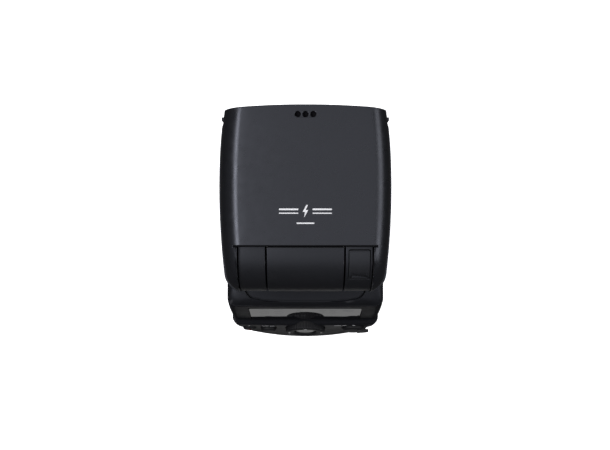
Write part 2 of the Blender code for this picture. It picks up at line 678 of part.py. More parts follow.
def case_shells(panel):
    cavity = as_cutter(loft("case_cavity", case_sections(CASE_WALL), "inner_plastic"))

    rear = loft("rear_case", case_sections(0.0), "case_plastic")
    boolean(rear, rear_zone("rear_zone", panel, -0.15), "INTERSECT")
    cut(rear, cavity)
    window = prism(
        "window_opening",
        rounded_rectangle((-WINDOW_HALF - GAP, WINDOW_LOW - GAP), (WINDOW_HALF + GAP, WINDOW_HIGH + GAP), 1.2, 3),
        -20, 20, "inner_plastic", panel,
    )
    cut(rear, as_cutter(window))
    holes = (("dial", DIAL_X, DIAL_RADIUS), ("test", TEST_X, TEST_RADIUS), ("mode", MODE_X, MODE_RADIUS),
             ("power", POWER_X, POWER_RADIUS))
    for name, x, radius in holes:
        hole = rod(f"{name}_hole", (x, CONTROLS_UP, -12), (x, CONTROLS_UP, 12), radius + GAP, "inner_plastic", panel,
                   sides=32)
        cut(rear, as_cutter(hole))

    front = loft("front_case", case_sections(0.0), "case_plastic")
    plateau = prism(
        "swivel_plateau", plateau_outline(), DECK_Z - 1.8, PLATEAU_Z, "case_plastic")
    join(front, as_cutter(plateau))
    cut(front, cavity, rear_zone("rear_zone_with_gap", panel, 0.15))
    swivel_hole = rod("swivel_hole", (0, AXIS_Y, 70), (0, AXIS_Y, 80), TURNTABLE_BORE, "inner_plastic", sides=40)
    door_hole = box(
        "door_hole", (-50, DOOR_BACK - GAP, DOOR_AXIS_Z - KNUCKLE_RADIUS - GAP),
        (-27.0, DOOR_FRONT + GAP, DOOR_TOP + GAP), "inner_plastic",
    )
    beam_hole = box("beam_hole", (-13.0, 13.6, 24.0), (13.0, 40, 40.0), "inner_plastic")
    pin_hole = rod("door_pin_hole", (DOOR_AXIS_X, DOOR_BACK - 2, DOOR_AXIS_Z), (DOOR_AXIS_X, DOOR_FRONT + 2, DOOR_AXIS_Z),
                   HINGE_PIN_RADIUS + 0.15, "inner_plastic", sides=12)
    cut(front, *[as_cutter(c) for c in (swivel_hole, door_hole, beam_hole, pin_hole)])
    for i, (x, y) in enumerate(screw_places()):
        head = rod(f"screw_seat_{i}", (x, y, 12), (x, y, 15.1), 2.6, "inner_plastic", sides=16)
        shank = rod(f"screw_way_{i}", (x, y, 12), (x, y, 17), 1.3, "inner_plastic", sides=12)
        cut(front, as_cutter(head), as_cutter(shank))

    beam = loft("af_beam_window", case_sections(0.25), "red_window")
    boolean(beam, as_cutter(box("beam_zone", (-12.7, 15.0, 24.3), (12.7, 40, 39.7), "inner_plastic")), "INTERSECT")
    return pin_hole


def plateau_outline():
    """The raised deck that the turntable runs on: bowed at the back, with round corners."""
    radius, bow = 5.0, 1.2
    edge = PLATEAU_HALF - radius
    right = [(edge * share, PLATEAU_BACK + bow * (share * edge / PLATEAU_HALF) ** 2) for share in (0.33, 0.66)]
    right += arc((edge, PLATEAU_BACK + bow + radius), (radius, radius), -90, 0, 5)
    right += [(PLATEAU_HALF, 14.0), (16.0, 23.0)]
    return right + [(-x, y) for x, y in reversed(right)]


def screw_places():
    return [(x, y) for x in (-21.0, 21.0) for y in (-24.0, 4.0)]


def case_screws():
    for i, (x, y) in enumerate(screw_places(), start=1):
        frame = make_frame(f"screw_{i}_axis", (x, y, 0))
        screw = turned(
            f"case_screw_{i}", [(0, 16.8), (1.0, 16.8), (1.0, 14.9), (2.3, 14.9), (2.3, 14.1), (0, 14.1)],
            "steel", frame, steps=16,
        )
        slot = box(f"screw_{i}_slot", (-1.6, -0.25, 13), (1.6, 0.25, 14.5), "steel", frame)
        cut(screw, as_cutter(slot))


def electronics(panel):
    """What the case holds besides the cells."""
    box("lcd_module", (-23.4, WINDOW_LOW + 1.2, -5.4), (23.4, WINDOW_HIGH - 1.2, -1.9), "display", panel)
    prism(
        "display_window", rounded_rectangle((-WINDOW_HALF, WINDOW_LOW), (WINDOW_HALF, WINDOW_HIGH), 1.0, 3),
        -1.5, -0.1, "clear_plastic", panel,
    )
    box("main_board", (-27.5, -10.4, -11.4), (27.5, 40.0, -10.2), "circuit_board", panel)
    rod("main_capacitor", (-24, 12.0, 59.6), (23, 12.0, 59.6), 9.7, "capacitor_sleeve", sides=32)
    round_edges(box("transformer", (-22, -12.3, 50.4), (-5, -0.7, 63.5), "inner_plastic"), 0.8, 1)


# ---------------------------------------------------------------- battery compartment

def battery_bay(pin_hole):
    holder = box("battery_holder", (-24.0, -17.5, 17.3), (25.4, 13.4, 48.6), "inner_plastic")
    door_contact = box("door_contact", (-28.7, -15.5, 20), (-28.1, 11.5, 46), "brass")
    places = [(y, z) for y in CELL_YS for z in CELL_ZS]
    for i, (y, z) in enumerate(places, start=1):
        bore = rod(f"cell_bore_{i}", (-30, y, z), (30, y, z), CELL_RADIUS + GAP, "inner_plastic", sides=24)
        cut(holder, as_cutter(bore))
        rod(f"aa_cell_{i}", (CELL_START_X, y, z), (CELL_START_X + CELL_LENGTH, y, z), CELL_RADIUS, "cell_wrap")
        spring = rod(
            f"cell_spring_{i}", (-28.4, y, z), (-24.8, y, z), 3.6, "brass", sides=12, end_radius=2.2)
        join(door_contact, as_cutter(spring))
    box("battery_contact_plate", (26.5, -15.5, 20), (27.1, 11.5, 46), "brass")

    door = loft("battery_door", case_sections(0.0), "case_plastic")
    zone = box("door_zone", (-50, DOOR_BACK, DOOR_AXIS_Z), (DOOR_INNER_X, DOOR_FRONT, DOOR_TOP), "inner_plastic")
    boolean(door, as_cutter(zone), "INTERSECT")
    knuckle = rod(
        "door_knuckle", (DOOR_AXIS_X, DOOR_BACK, DOOR_AXIS_Z), (DOOR_AXIS_X, DOOR_FRONT, DOOR_AXIS_Z),
        KNUCKLE_RADIUS, "case_plastic", sides=16,
    )
    latch_seat = box("latch_seat", (-50, -7.2, 42.0), (-32.3, 4.2, 45.6), "inner_plastic")
    cut(join(door, as_cutter(knuckle)), pin_hole, as_cutter(latch_seat))
    rod("door_hinge_pin", (DOOR_AXIS_X, DOOR_BACK - 1.7, DOOR_AXIS_Z), (DOOR_AXIS_X, DOOR_FRONT + 1.7, DOOR_AXIS_Z),
        HINGE_PIN_RADIUS, "steel", sides=12)
    latch = box("door_latch", (-34.2, -6.9, 42.3), (-32.6, 0.9, 45.3), "button_rubber")
    round_edges(latch, 0.3, 1)


# ---------------------------------------------------------------- controls

def controls(panel):
    """Each has a skirt behind the panel, which holds it in, and a face that stands proud."""
    panel = panel_frame("controls_row", 0, CONTROLS_UP, CONTROLS_OUT, panel)
    dial_frame = panel_frame("dial_axis", DIAL_X, parent=panel)
    turned(
        "select_dial",
        [(SET_RADIUS + GAP, 1.6), (8.6, 2.2), (DIAL_RADIUS, 1.6), (DIAL_RADIUS, -4.0), (DIAL_RADIUS + 0.9, -4.0),
         (DIAL_RADIUS + 0.9, -4.8), (SET_RADIUS + GAP, -4.8)],
        "button_rubber", dial_frame, steps=40,
    )
    turned("set_button", [(0, 1.5), (4.2, 1.4), (SET_RADIUS, 0.9), (SET_RADIUS, -5.2), (0, -5.2)],
           "gloss_plastic", dial_frame, steps=32)
    for name, x, radius, sink, proud, skirt in (
        ("test_button", TEST_X, TEST_RADIUS, TEST_SINK, 1.0, -6.2),
        ("mode_button", MODE_X, MODE_RADIUS, 0.0, 1.5, -4.0),
    ):
        frame = panel_frame(name + "_axis", x, 0, -sink, panel)
        turned(
            name,
            [(0, proud), (radius - 0.6, proud - 0.1), (radius, proud - 0.6), (radius, skirt),
             (radius + 0.5, skirt), (radius + 0.5, skirt - 0.8), (0, skirt - 0.8)],
            "button_rubber", frame, steps=24,
        )
    power_frame = panel_frame("power_axis", POWER_X, parent=panel)
    lever = turned(
        "power_lever",
        [(0, 1.4), (4.4, 1.3), (POWER_RADIUS, 0.7), (POWER_RADIUS, -4.8), (POWER_RADIUS + 0.8, -4.8),
         (POWER_RADIUS + 0.8, -5.6), (0, -5.6)],
        "button_rubber", power_frame, steps=32,
    )
    tab = prism(
        "power_tab", [(2.0, -3.2), (5.7, -1.9)] + arc((5.8, 0), (1.5, 1.5), -70, 70, 5) + [(5.7, 1.9), (2.0, 3.2)],
        0.5, 1.8, "button_rubber", power_frame,
    )
    join(lever, as_cutter(tab))


# ---------------------------------------------------------------- foot

def foot():
    foot_frame = make_frame("foot_axis", (0, 0, 0))
    half, length = FOOT_HALF_WIDTH, FOOT_HALF_LENGTH
    shoe = prism("shoe_foot", rounded_rectangle((-half, -length), (half, length), 1.2, 3), 0, FOOT_PLATE, "steel")
    riser = box("foot_riser", (-FOOT_NECK_HALF, -length, 1.0), (FOOT_NECK_HALF, length, FOOT_NECK_TOP + 0.4), "steel")
    flange = box("foot_flange", (-half, -length, FOOT_NECK_TOP), (half, length, 5.0), "steel")
    contact_hole = box("contact_hole", (-4.9, -4.7, -1), (4.9, 4.7, 8), "steel")
    pin_way = rod("lock_pin_way", (0, LOCK_PIN_Y, -1), (0, LOCK_PIN_Y, 13), 1.35, "inner_plastic", sides=16)
    join(shoe, as_cutter(riser), as_cutter(flange))
    cut(shoe, as_cutter(contact_hole), as_cutter(pin_way))

    block = box("contact_block", (-4.6, -4.4, 0.1), (4.6, 4.4, 5.0), "inner_plastic")
    for i, (x, y) in enumerate(CONTACT_PINS, start=1):
        well = rod(f"contact_well_{i}", (x, y, -2), (x, y, 4.4), CONTACT_RADIUS + GAP, "inner_plastic", sides=12)
        cut(block, as_cutter(well))
        rod(f"contact_pin_{i}", (x, y, -0.5), (x, y, 3.5), CONTACT_RADIUS, "brass", sides=12)

    pedestal = rod("foot_pedestal", (0, 0, 5.3), (0, 0, 9.8), 9.0, "case_plastic", foot_frame, sides=40)
    shoulder = prism(
        "pedestal_shoulder", rounded_rectangle((-15.5, -14), (15.5, 16), 6.0), 9.5, 13.7, "case_plastic")
    join(pedestal, as_cutter(round_edges(shoulder, 0.8, 1)))
    cut(pedestal, pin_way)

    lever_frame = make_frame("lock_lever_axis", (0, 0, 0), (0, 0, math.radians(LEVER_START_DEG)))
    lever = prism("lock_lever", lever_outline(), 5.7, 9.0, "button_rubber", lever_frame)
    ring = rod("lever_bore", (0, 0, 0), (0, 0, 20), 9.4, "inner_plastic", lever_frame, sides=40)
    cut(lever, as_cutter(ring))
    rod("lock_pin", (0, LOCK_PIN_Y, 0.3), (0, LOCK_PIN_Y, 11.0), 1.05, "steel", sides=16)


def lever_outline():
    """A ring round the foot with a thumb tab behind it, before its bore is cut."""
    tab = [(6.5, -23.0), (7.5, -22.0), (8.0, -9.75)]
    around = arc((0, 0), (LEVER_RADIUS, LEVER_RADIUS), -50, 230, 28)
    return tab + around + [(-8.0, -9.75), (-7.5, -22.0), (-6.5, -23.0)]


# ---------------------------------------------------------------- assembly

def main():
    clear_scene()
    make_finishes()
    head_covers()
    head_front()
    pull_out_panels()
    zoom_unit()
    hinge_hubs()
    neck()
    panel = panel_frame("control_panel")
    pin_hole = case_shells(panel)
    case_screws()
    electronics(panel)
    battery_bay(pin_hole)
    controls(panel)
    foot()


main()
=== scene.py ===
"""A hot-shoe flash, finished for rendering on the frame of its CAD model.

Lengths are in millimetres, and MM turns them into metres where a mesh is made. +Z is up, the flash
fires along +Y and its display faces -Y. Pieces on the control panel are built in the panel's own
frame: X right, Y up the panel, Z out of it.
"""

import math

import bmesh
import bpy
from mathutils import Matrix, Vector


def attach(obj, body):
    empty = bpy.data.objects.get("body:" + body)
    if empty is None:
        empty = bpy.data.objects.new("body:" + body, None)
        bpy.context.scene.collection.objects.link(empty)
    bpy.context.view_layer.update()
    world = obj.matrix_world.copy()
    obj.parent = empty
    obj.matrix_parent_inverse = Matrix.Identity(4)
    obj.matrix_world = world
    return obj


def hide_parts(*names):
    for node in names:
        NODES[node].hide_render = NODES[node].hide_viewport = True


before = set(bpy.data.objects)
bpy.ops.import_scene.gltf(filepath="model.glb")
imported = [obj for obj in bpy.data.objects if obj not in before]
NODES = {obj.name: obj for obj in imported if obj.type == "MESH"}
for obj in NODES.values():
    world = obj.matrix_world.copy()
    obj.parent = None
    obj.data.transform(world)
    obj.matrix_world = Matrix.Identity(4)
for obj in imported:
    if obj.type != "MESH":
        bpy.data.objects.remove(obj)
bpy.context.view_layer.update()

MM = 0.001
GAP = 0.3

# ---------------------------------------------------------------- camera, light and floor

# The studio's lengths are in metres. The camera looks straight down on the flash.
CAMERA_PLACE, SENSOR_WIDTH, FOCAL_LENGTH = (-0.00015, 0.013, 0.400), 36.0, 44.97
LIGHT_COLOUR, WORLD_COLOUR, WORLD_LIGHT = (0.96, 0.965, 1.0), (0.95, 0.96, 1.0, 1.0), 0.1
KEY_POWER, FILL_POWER, CEILING_POWER = 5.6, 3.0, 11.5
STUDIO_SIZE = 6.0
FLOOR_COLOUR, FLOOR_TONE, FLOOR_Z = 0.9, 0.88, -0.0008
CARD_TONE, CARD_PLACE, CARD_SCALE = 0.46, (0.0, -0.067, -0.0009), (0.038, 0.011, 1.0)
MAT_TONE, MAT_RADIUS, MAT_Z = 0.03, 0.16, -0.0010
TABLE_TONE, TABLE_Z = 0.025, -0.0012

camera_data = bpy.data.cameras.new("camera")
camera_data.sensor_width = SENSOR_WIDTH
camera_data.lens = FOCAL_LENGTH
camera_data.clip_start = 0.01
camera = bpy.data.objects.new("camera", camera_data)
camera.location = CAMERA_PLACE
bpy.context.scene.collection.objects.link(camera)
bpy.context.scene.camera = camera
bpy.context.scene.view_settings.view_transform = "Standard"


def soft_light(name, place, target, size, power):
    """size is its level width, then its height up the plane that it faces."""
    light = bpy.data.lights.new(name, "AREA")
    light.shape = "RECTANGLE"
    light.size, light.size_y = size
    light.energy = power
    light.color = LIGHT_COLOUR
    lamp = bpy.data.objects.new(name, light)
    lamp.location = place
    lamp.rotation_euler = (Vector(target) - Vector(place)).to_track_quat("-Z", "Y").to_euler()
    bpy.context.scene.collection.objects.link(lamp)


soft_light("key_light", (-0.56, 0.05, 0.88), (-0.02, 0.03, 0.11), (1.0, 0.2), KEY_POWER)
soft_light("fill_light", (0.79, 0.03, 0.49), (0.02, 0.03, 0.11), (0.9, 0.36), FILL_POWER)
soft_light("ceiling_light", (0.0, 0.0, 1.15), (0.0, 0.0001, 0.0), (2.0, 2.0), CEILING_POWER)

world = bpy.data.worlds.new("studio")
world.use_nodes = True
world.node_tree.nodes["Background"].inputs["Color"].default_value = WORLD_COLOUR
world.node_tree.nodes["Background"].inputs["Strength"].default_value = WORLD_LIGHT
bpy.context.scene.world = world


def stage_surface(name, bm, colour, glow, seen_by):
    """Part of the studio. seen_by says which kinds of ray meet it."""
    mesh = bpy.data.meshes.new(name)
    bm.to_mesh(mesh)
    bm.free()
    surface = bpy.data.objects.new(name, mesh)
    bpy.context.scene.collection.objects.link(surface)
    paper = bpy.data.materials.new(name + "_paper")
    paper.use_nodes = True
    shader = paper.node_tree.nodes["Principled BSDF"]
    shader.inputs["Base Color"].default_value = (*[colour] * 3, 1.0)
    shader.inputs["Roughness"].default_value = 0.9
    shader.inputs["Emission Color"].default_value = (1.0, 1.0, 1.0, 1.0)
    shader.inputs["Emission Strength"].default_value = glow
    mesh.materials.append(paper)
    for ray in ("camera", "diffuse", "glossy", "transmission", "shadow"):
        setattr(surface, "visible_" + ray, ray in seen_by)
    return surface


def sheet(half):
    """A flat square."""
    bm = bmesh.new()
    bmesh.ops.create_grid(bm, x_segments=1, y_segments=1, size=half)
    return bm


def make_studio():
    """A pale floor and backdrop.

    Reflections and bounced light meet a dim table with a paler mat on it instead. Reflections also
    meet a light card behind the flash, which shows in the display's window.
    """
    floor = stage_surface(
        "floor", sheet(STUDIO_SIZE), FLOOR_COLOUR, FLOOR_TONE, ("camera", "transmission", "shadow"))
    floor.location.z = FLOOR_Z
    bm = bmesh.new()
    bmesh.ops.create_circle(bm, cap_ends=True, segments=48, radius=MAT_RADIUS)
    stage_surface("mat", bm, 0.0, MAT_TONE, ("diffuse", "glossy")).location.z = MAT_Z
    card = stage_surface("card", sheet(1.0), 0.0, CARD_TONE, ("glossy",))
    card.location, card.scale = CARD_PLACE, CARD_SCALE
    table = stage_surface("table", sheet(STUDIO_SIZE), 0.0, TABLE_TONE, ("diffuse", "glossy"))
    table.location.z = TABLE_Z
    bm = bmesh.new()
    bmesh.ops.create_uvsphere(bm, u_segments=32, v_segments=16, radius=STUDIO_SIZE)
    stage_surface("backdrop", bm, 0.0, 1.0, ("camera",))


make_studio()

# ---------------------------------------------------------------- materials


COOL = (0.85, 0.88, 1.0, 1.0)
RUBBED = (0.25, 0.25, 0.26, 1.0)


def finish(
    name, colour, roughness, grain=0.25, depth=0.0, metallic=0.0, shade=0.05, rough_change=0.04,
    wear=0.0, brushed=None, **sockets,
):
    """A moulded or plated surface.

    grain is the size of its texture and depth its height, in millimetres. shade is how much its colour
    varies, rough_change how much its roughness does, and wear how far its edges are rubbed. brushed is
    how its texture is scaled along each axis, if it has brush marks.
    """
    material = bpy.data.materials.new(name)
    material.use_nodes = True
    tree = material.node_tree
    links = tree.links
    shader = tree.nodes["Principled BSDF"]
    shader.inputs["Metallic"].default_value = metallic
    for socket, value in sockets.items():
        shader.inputs[socket.replace("_", " ")].default_value = value
    place = tree.nodes.new("ShaderNodeTexCoord").outputs["Object"]
    if brushed:
        stretch = tree.nodes.new("ShaderNodeMapping")
        stretch.inputs["Scale"].default_value = brushed
        links.new(place, stretch.inputs["Vector"])
        place = stretch.outputs["Vector"]

    def noise(size, detail=2.0):
        node = tree.nodes.new("ShaderNodeTexNoise")
        node.inputs["Scale"].default_value = 1.0 / (size * MM)
        node.inputs["Detail"].default_value = detail
        links.new(place, node.inputs["Vector"])
        return node.outputs["Fac"]

    def between(value, low, high):
        node = tree.nodes.new("ShaderNodeMapRange")
        node.inputs["From Min"].default_value = 0.3
        node.inputs["From Max"].default_value = 0.7
        node.inputs["To Min"].default_value = low
        node.inputs["To Max"].default_value = high
        links.new(value, node.inputs["Value"])
        return node.outputs["Result"]

    blotches = noise(9.0, 5.0)
    tone = tree.nodes.new("ShaderNodeMix")
    tone.data_type = "RGBA"
    tone.inputs["A"].default_value = (*[c * (1 - shade) for c in colour], 1.0)
    tone.inputs["B"].default_value = (*[min(1.0, c * (1 + shade)) for c in colour], 1.0)
    links.new(between(blotches, 0.0, 1.0), tone.inputs["Factor"])
    surface = tone.outputs["Result"]
    if wear:
        edges = tree.nodes.new("ShaderNodeNewGeometry").outputs["Pointiness"]
        ramp = tree.nodes.new("ShaderNodeMapRange")
        ramp.inputs["From Min"].default_value = 0.53
        ramp.inputs["From Max"].default_value = 0.62
        ramp.inputs["To Max"].default_value = wear
        links.new(edges, ramp.inputs["Value"])
        rubbed = tree.nodes.new("ShaderNodeMix")
        rubbed.data_type = "RGBA"
        rubbed.inputs["B"].default_value = RUBBED
        links.new(ramp.outputs["Result"], rubbed.inputs["Factor"])
        links.new(surface, rubbed.inputs["A"])
        surface = rubbed.outputs["Result"]
    links.new(surface, shader.inputs["Base Color"])
    links.new(between(noise(3.0, 4.0), roughness - rough_change, roughness + rough_change),
              shader.inputs["Roughness"])
    if depth:
        bump = tree.nodes.new("ShaderNodeBump")
        bump.inputs["Strength"].default_value = 1.0
        bump.inputs["Distance"].default_value = depth * MM
        links.new(noise(grain), bump.inputs["Height"])
        links.new(bump.outputs["Normal"], shader.inputs["Normal"])
    return material


BLACK = (0.0075, 0.0078, 0.0092)
CASE = finish(
    "case_plastic", (0.0078, 0.0081, 0.0095), 0.3, grain=0.35, depth=0.004, wear=0.15, Specular_Tint=COOL,
)
BODY = finish(
    "body_plastic", BLACK, 0.42, grain=0.35, depth=0.004, wear=0.1,
    Specular_IOR_Level=0.19, Specular_Tint=COOL,
)
CONTROL_PANEL = finish(
    "panel_plastic", BLACK, 0.42, grain=0.35, depth=0.004, wear=0.1,
    Specular_IOR_Level=0.07, Specular_Tint=COOL,
)
BARREL = finish(
    "barrel_plastic", (0.0085, 0.0088, 0.01), 0.42, grain=0.3, depth=0.004, wear=0.12,
    Specular_IOR_Level=0.37, Specular_Tint=COOL,
)
GLOSS = finish("gloss_plastic", (0.008, 0.008, 0.009), 0.14, grain=2.0, depth=0.004)
INNER = finish("inner_plastic", (0.05, 0.05, 0.052), 0.6, grain=0.4, depth=0.02)
WHITE = finish("white_plastic", (0.8, 0.8, 0.78), 0.5, grain=0.5, depth=0.008, shade=0.03)
RUBBER = finish("button_rubber", (0.016, 0.016, 0.018), 0.62, depth=0.012, wear=0.15)
DIAL = finish("dial_rubber", (0.007, 0.007, 0.008), 0.55, depth=0.008, wear=0.2, Specular_IOR_Level=0.2)
STEEL = finish(
    "nickel_steel", (0.62, 0.62, 0.63), 0.3, grain=0.3, depth=0.01, metallic=1.0, shade=0.06,
    brushed=(1.0, 0.06, 1.0),
)
BRASS = finish("gold_brass", (0.83, 0.62, 0.28), 0.24, grain=0.3, depth=0.006, metallic=1.0, shade=0.08)
MIRROR = finish(
    "mirror_metal", (0.9, 0.9, 0.91), 0.08, grain=3.0, depth=0.01, metallic=1.0, shade=0.02,
    rough_change=0.03,
)
BOARD = finish("circuit_board", (0.015, 0.09, 0.04), 0.35, grain=1.2, depth=0.02, shade=0.25)
SLEEVE = finish("capacitor_sleeve", (0.01, 0.01, 0.02), 0.3, grain=1.5, depth=0.01)
CELL = finish("cell_wrap", (0.42, 0.43, 0.45), 0.32, grain=2.0, depth=0.006)
RED = finish("red_window", (0.06, 0.004, 0.008), 0.1, grain=3.0, depth=0.003)
PRINT = finish("white_print", (0.72, 0.72, 0.73), 0.55, grain=0.2, depth=0.004, shade=0.06)
DISPLAY = finish(
    "display_glass", (0.012, 0.013, 0.016), 0.8, grain=1.0, depth=0.002, shade=0.04, Specular_IOR_Level=0.0,
)
# Matte black without reflection: print on the display window's seat, and painted shade on the cover's rear
# lip and in the grip dots.
PRINT_AND_SHADE = finish(
    "black_print_and_painted_shade", (0.006, 0.006, 0.007), 0.8, grain=0.5, depth=0.002, shade=0.04, Specular_IOR_Level=0.0,
)
SMOKED = finish("smoked_acrylic", (0.005, 0.005, 0.006), 0.03, shade=0.02, rough_change=0.01, IOR=1.7)
SEGMENT = finish("display_segment", (0.03, 0.032, 0.036), 0.03, shade=0.1, rough_change=0.01, IOR=1.7)
CLEAR = finish(
    "clear_acrylic", (0.95, 0.97, 0.98), 0.1, grain=4.0, depth=0.002, shade=0.02, rough_change=0.05,
    Transmission_Weight=1.0, IOR=1.49,
)
QUARTZ = finish(
    "quartz_glass", (0.97, 0.98, 0.99), 0.07, grain=4.0, depth=0.002, shade=0.01, rough_change=0.03,
    Transmission_Weight=1.0, IOR=1.46,
)

# ---------------------------------------------------------------- shapes


def softened(points, radius, count=4):
    """A closed outline with its corners rounded."""
    result = []
    for i, corner in enumerate(points):
        corner = Vector(corner)
        before = Vector(points[i - 1]) - corner
        after = Vector(points[(i + 1) % len(points)]) - corner
        reach = min(radius, 0.48 * before.length, 0.48 * after.length)
        start, end = corner + before.normalized() * reach, corner + after.normalized() * reach
        for j in range(count + 1):
            t = j / count
            result.append(tuple(start * (1 - t) ** 2 + corner * 2 * t * (1 - t) + end * t * t))
    return result


def arc(centre, radii, start_deg, end_deg, count):
    """count points along part of an ellipse."""
    points = []
    for i in range(count):
        angle = math.radians(start_deg + (end_deg - start_deg) * i / (count - 1))
        points.append((centre[0] + radii[0] * math.cos(angle), centre[1] + radii[1] * math.sin(angle)))
    return points


def smooth_step(value, low, high):
    share = min(1.0, max(0.0, (value - low) / (high - low)))
    return share * share * (3 - 2 * share)


def spread(low, high, count):
    """The count + 1 values that divide low to high evenly."""
    return [low + (high - low) * i / count for i in range(count + 1)]


def through(points, at):
    """A smooth curve's value at a place, through (place, value) points."""
    i = 0
    while i < len(points) - 2 and at > points[i + 1][0]:
        i += 1
    (x1, y1), (x2, y2) = points[i], points[i + 1]
    x0, y0 = points[i - 1] if i else (2 * x1 - x2, 2 * y1 - y2)
    x3, y3 = points[i + 2] if i + 2 < len(points) else (2 * x2 - x1, 2 * y2 - y1)
    span = x2 - x1
    slope1, slope2 = (y2 - y0) / (x2 - x0) * span, (y3 - y1) / (x3 - x1) * span
    t = (at - x1) / span
    return (
        y1 * (2 * t ** 3 - 3 * t ** 2 + 1) + slope1 * (t ** 3 - 2 * t ** 2 + t)
        + y2 * (3 * t ** 2 - 2 * t ** 3) + slope2 * (t ** 3 - t ** 2)
    )


def solid(name, bm, place=None):
    """A bmesh in millimetres becomes an object in metres, moved to its place."""
    if place is not None:
        bmesh.ops.transform(bm, matrix=place, verts=bm.verts)
    bmesh.ops.recalc_face_normals(bm, faces=bm.faces)
    bmesh.ops.scale(bm, vec=(MM, MM, MM), verts=bm.verts)
    mesh = bpy.data.meshes.new(name)
    bm.to_mesh(mesh)
    bm.free()
    obj = bpy.data.objects.new(name, mesh)
    bpy.context.scene.collection.objects.link(obj)
    return obj


def skin(name, sections):
    """A solid through sections of equally many points."""
    bm = bmesh.new()
    rings = [[bm.verts.new(point) for point in section] for section in sections]
    for ring, following in zip(rings, rings[1:]):
        for i in range(len(ring)):
            j = (i + 1) % len(ring)
            bm.faces.new((ring[i], ring[j], following[j], following[i]))
    bm.faces.new(rings[0])
    bm.faces.new(rings[-1])
    return solid(name, bm)


def block(name, low, high, place=None):
    """A box between two corners."""
    low, high = Vector(low), Vector(high)
    bm = bmesh.new()
    bmesh.ops.create_cube(bm, size=1.0)
    bmesh.ops.scale(bm, vec=high - low, verts=bm.verts)
    bmesh.ops.translate(bm, vec=(low + high) / 2, verts=bm.verts)
    return solid(name, bm, place)


# They turn a prism's outline into XZ or YZ, and a lathe's axis onto X.
TURN_XZ = Matrix(((1, 0, 0, 0), (0, 0, 1, 0), (0, 1, 0, 0), (0, 0, 0, 1)))
TURN_YZ = Matrix(((0, 0, 1, 0), (1, 0, 0, 0), (0, 1, 0, 0), (0, 0, 0, 1)))
TURN_X = Matrix.Rotation(math.radians(90), 4, "Y")


def prism(name, outline, low, high, place=None):
    """An outline in XY given thickness along Z."""
    bm = bmesh.new()
    rings = [[bm.verts.new((x, y, z)) for x, y in outline] for z in (low, high)]
    for i in range(len(outline)):
        j = (i + 1) % len(outline)
        bm.faces.new((rings[0][i], rings[0][j], rings[1][j], rings[1][i]))
    for ring in rings:
        bm.faces.new(ring)
    return solid(name, bm, place)


def lathe(name, profile, place=None, steps=96, ripple=None):
    """A closed profile of (radius, height) turned about Z.

    ripple(angle, radius, height) is how far a point moves outwards.
    """
    bm = bmesh.new()
    rings = []
    for radius, height in profile:
        if radius == 0:
            rings.append([bm.verts.new((0, 0, height))])
            continue
        ring = []
        for i in range(steps):
            angle = 2 * math.pi * i / steps
            r = radius + (ripple(angle, radius, height) if ripple else 0.0)
            ring.append(bm.verts.new((r * math.cos(angle), r * math.sin(angle), height)))
        rings.append(ring)
    for ring, following in zip(rings, rings[1:] + rings[:1]):
        for i in range(steps):
            j = (i + 1) % steps
            if len(ring) == 1 and len(following) == 1:
                break
            corners = [ring[i % len(ring)], ring[j % len(ring)], following[j % len(following)],
                       following[i % len(following)]]
            bm.faces.new(list(dict.fromkeys(corners)))
    return solid(name, bm, place)


def rod(name, start, end, radius, place=None, steps=48):
    start, end = Vector(start), Vector(end)
    along = end - start
    stand = Matrix.Translation(start) @ along.to_track_quat("Z", "Y").to_matrix().to_4x4()
    profile = [(0, 0), (radius, 0), (radius, along.length), (0, along.length)]
    return lathe(name, profile, (place @ stand) if place is not None else stand, steps)


def combine(obj, operation, *others):
    """A Boolean, applied at once. The other shapes are used up."""
    for other in others:
        modifier = obj.modifiers.new(operation, "BOOLEAN")
        modifier.operation = operation
        modifier.object = other
        modifier.solver = "EXACT"
    fixed = bpy.data.meshes.new_from_object(obj.evaluated_get(bpy.context.evaluated_depsgraph_get()))
    obj.modifiers.clear()
    old = obj.data
    obj.data = fixed
    bpy.data.meshes.remove(old)
    for other in others:
        mesh = other.data
        bpy.data.objects.remove(other)
        bpy.data.meshes.remove(mesh)
    return obj


def cut(obj, *others):
    return combine(obj, "DIFFERENCE", *others)


def join(obj, *others):
    return combine(obj, "UNION", *others)


def keep(obj, other):
    return combine(obj, "INTERSECT", other)


def round_edges(obj, width, segments=2, angle=38.0, weld=0.02):
    """Bevels edges sharper than the angle, once points closer than weld are joined."""
    merge = obj.modifiers.new("merged points", "WELD")
    merge.merge_threshold = weld * MM
    bevel = obj.modifiers.new("rounded edges", "BEVEL")
    bevel.width = width * MM
    bevel.segments = segments
    bevel.limit_method = "ANGLE"
    bevel.angle_limit = math.radians(angle)
    bevel.use_clamp_overlap = False
    bevel.harden_normals = False
    return obj


def piece(obj, material, body, slot, *replaced, smooth=38.0):
    """The object is finished, rides on its body and stands for the CAD nodes that it replaces."""
    obj.data.materials.clear()
    obj.data.materials.append(material)
    obj.data.shade_smooth()
    obj.data.set_sharp_from_angle(angle=math.radians(smooth))
    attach(obj, body)
    if replaced:
        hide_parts(*replaced)
    return obj


# ---------------------------------------------------------------- dimensions

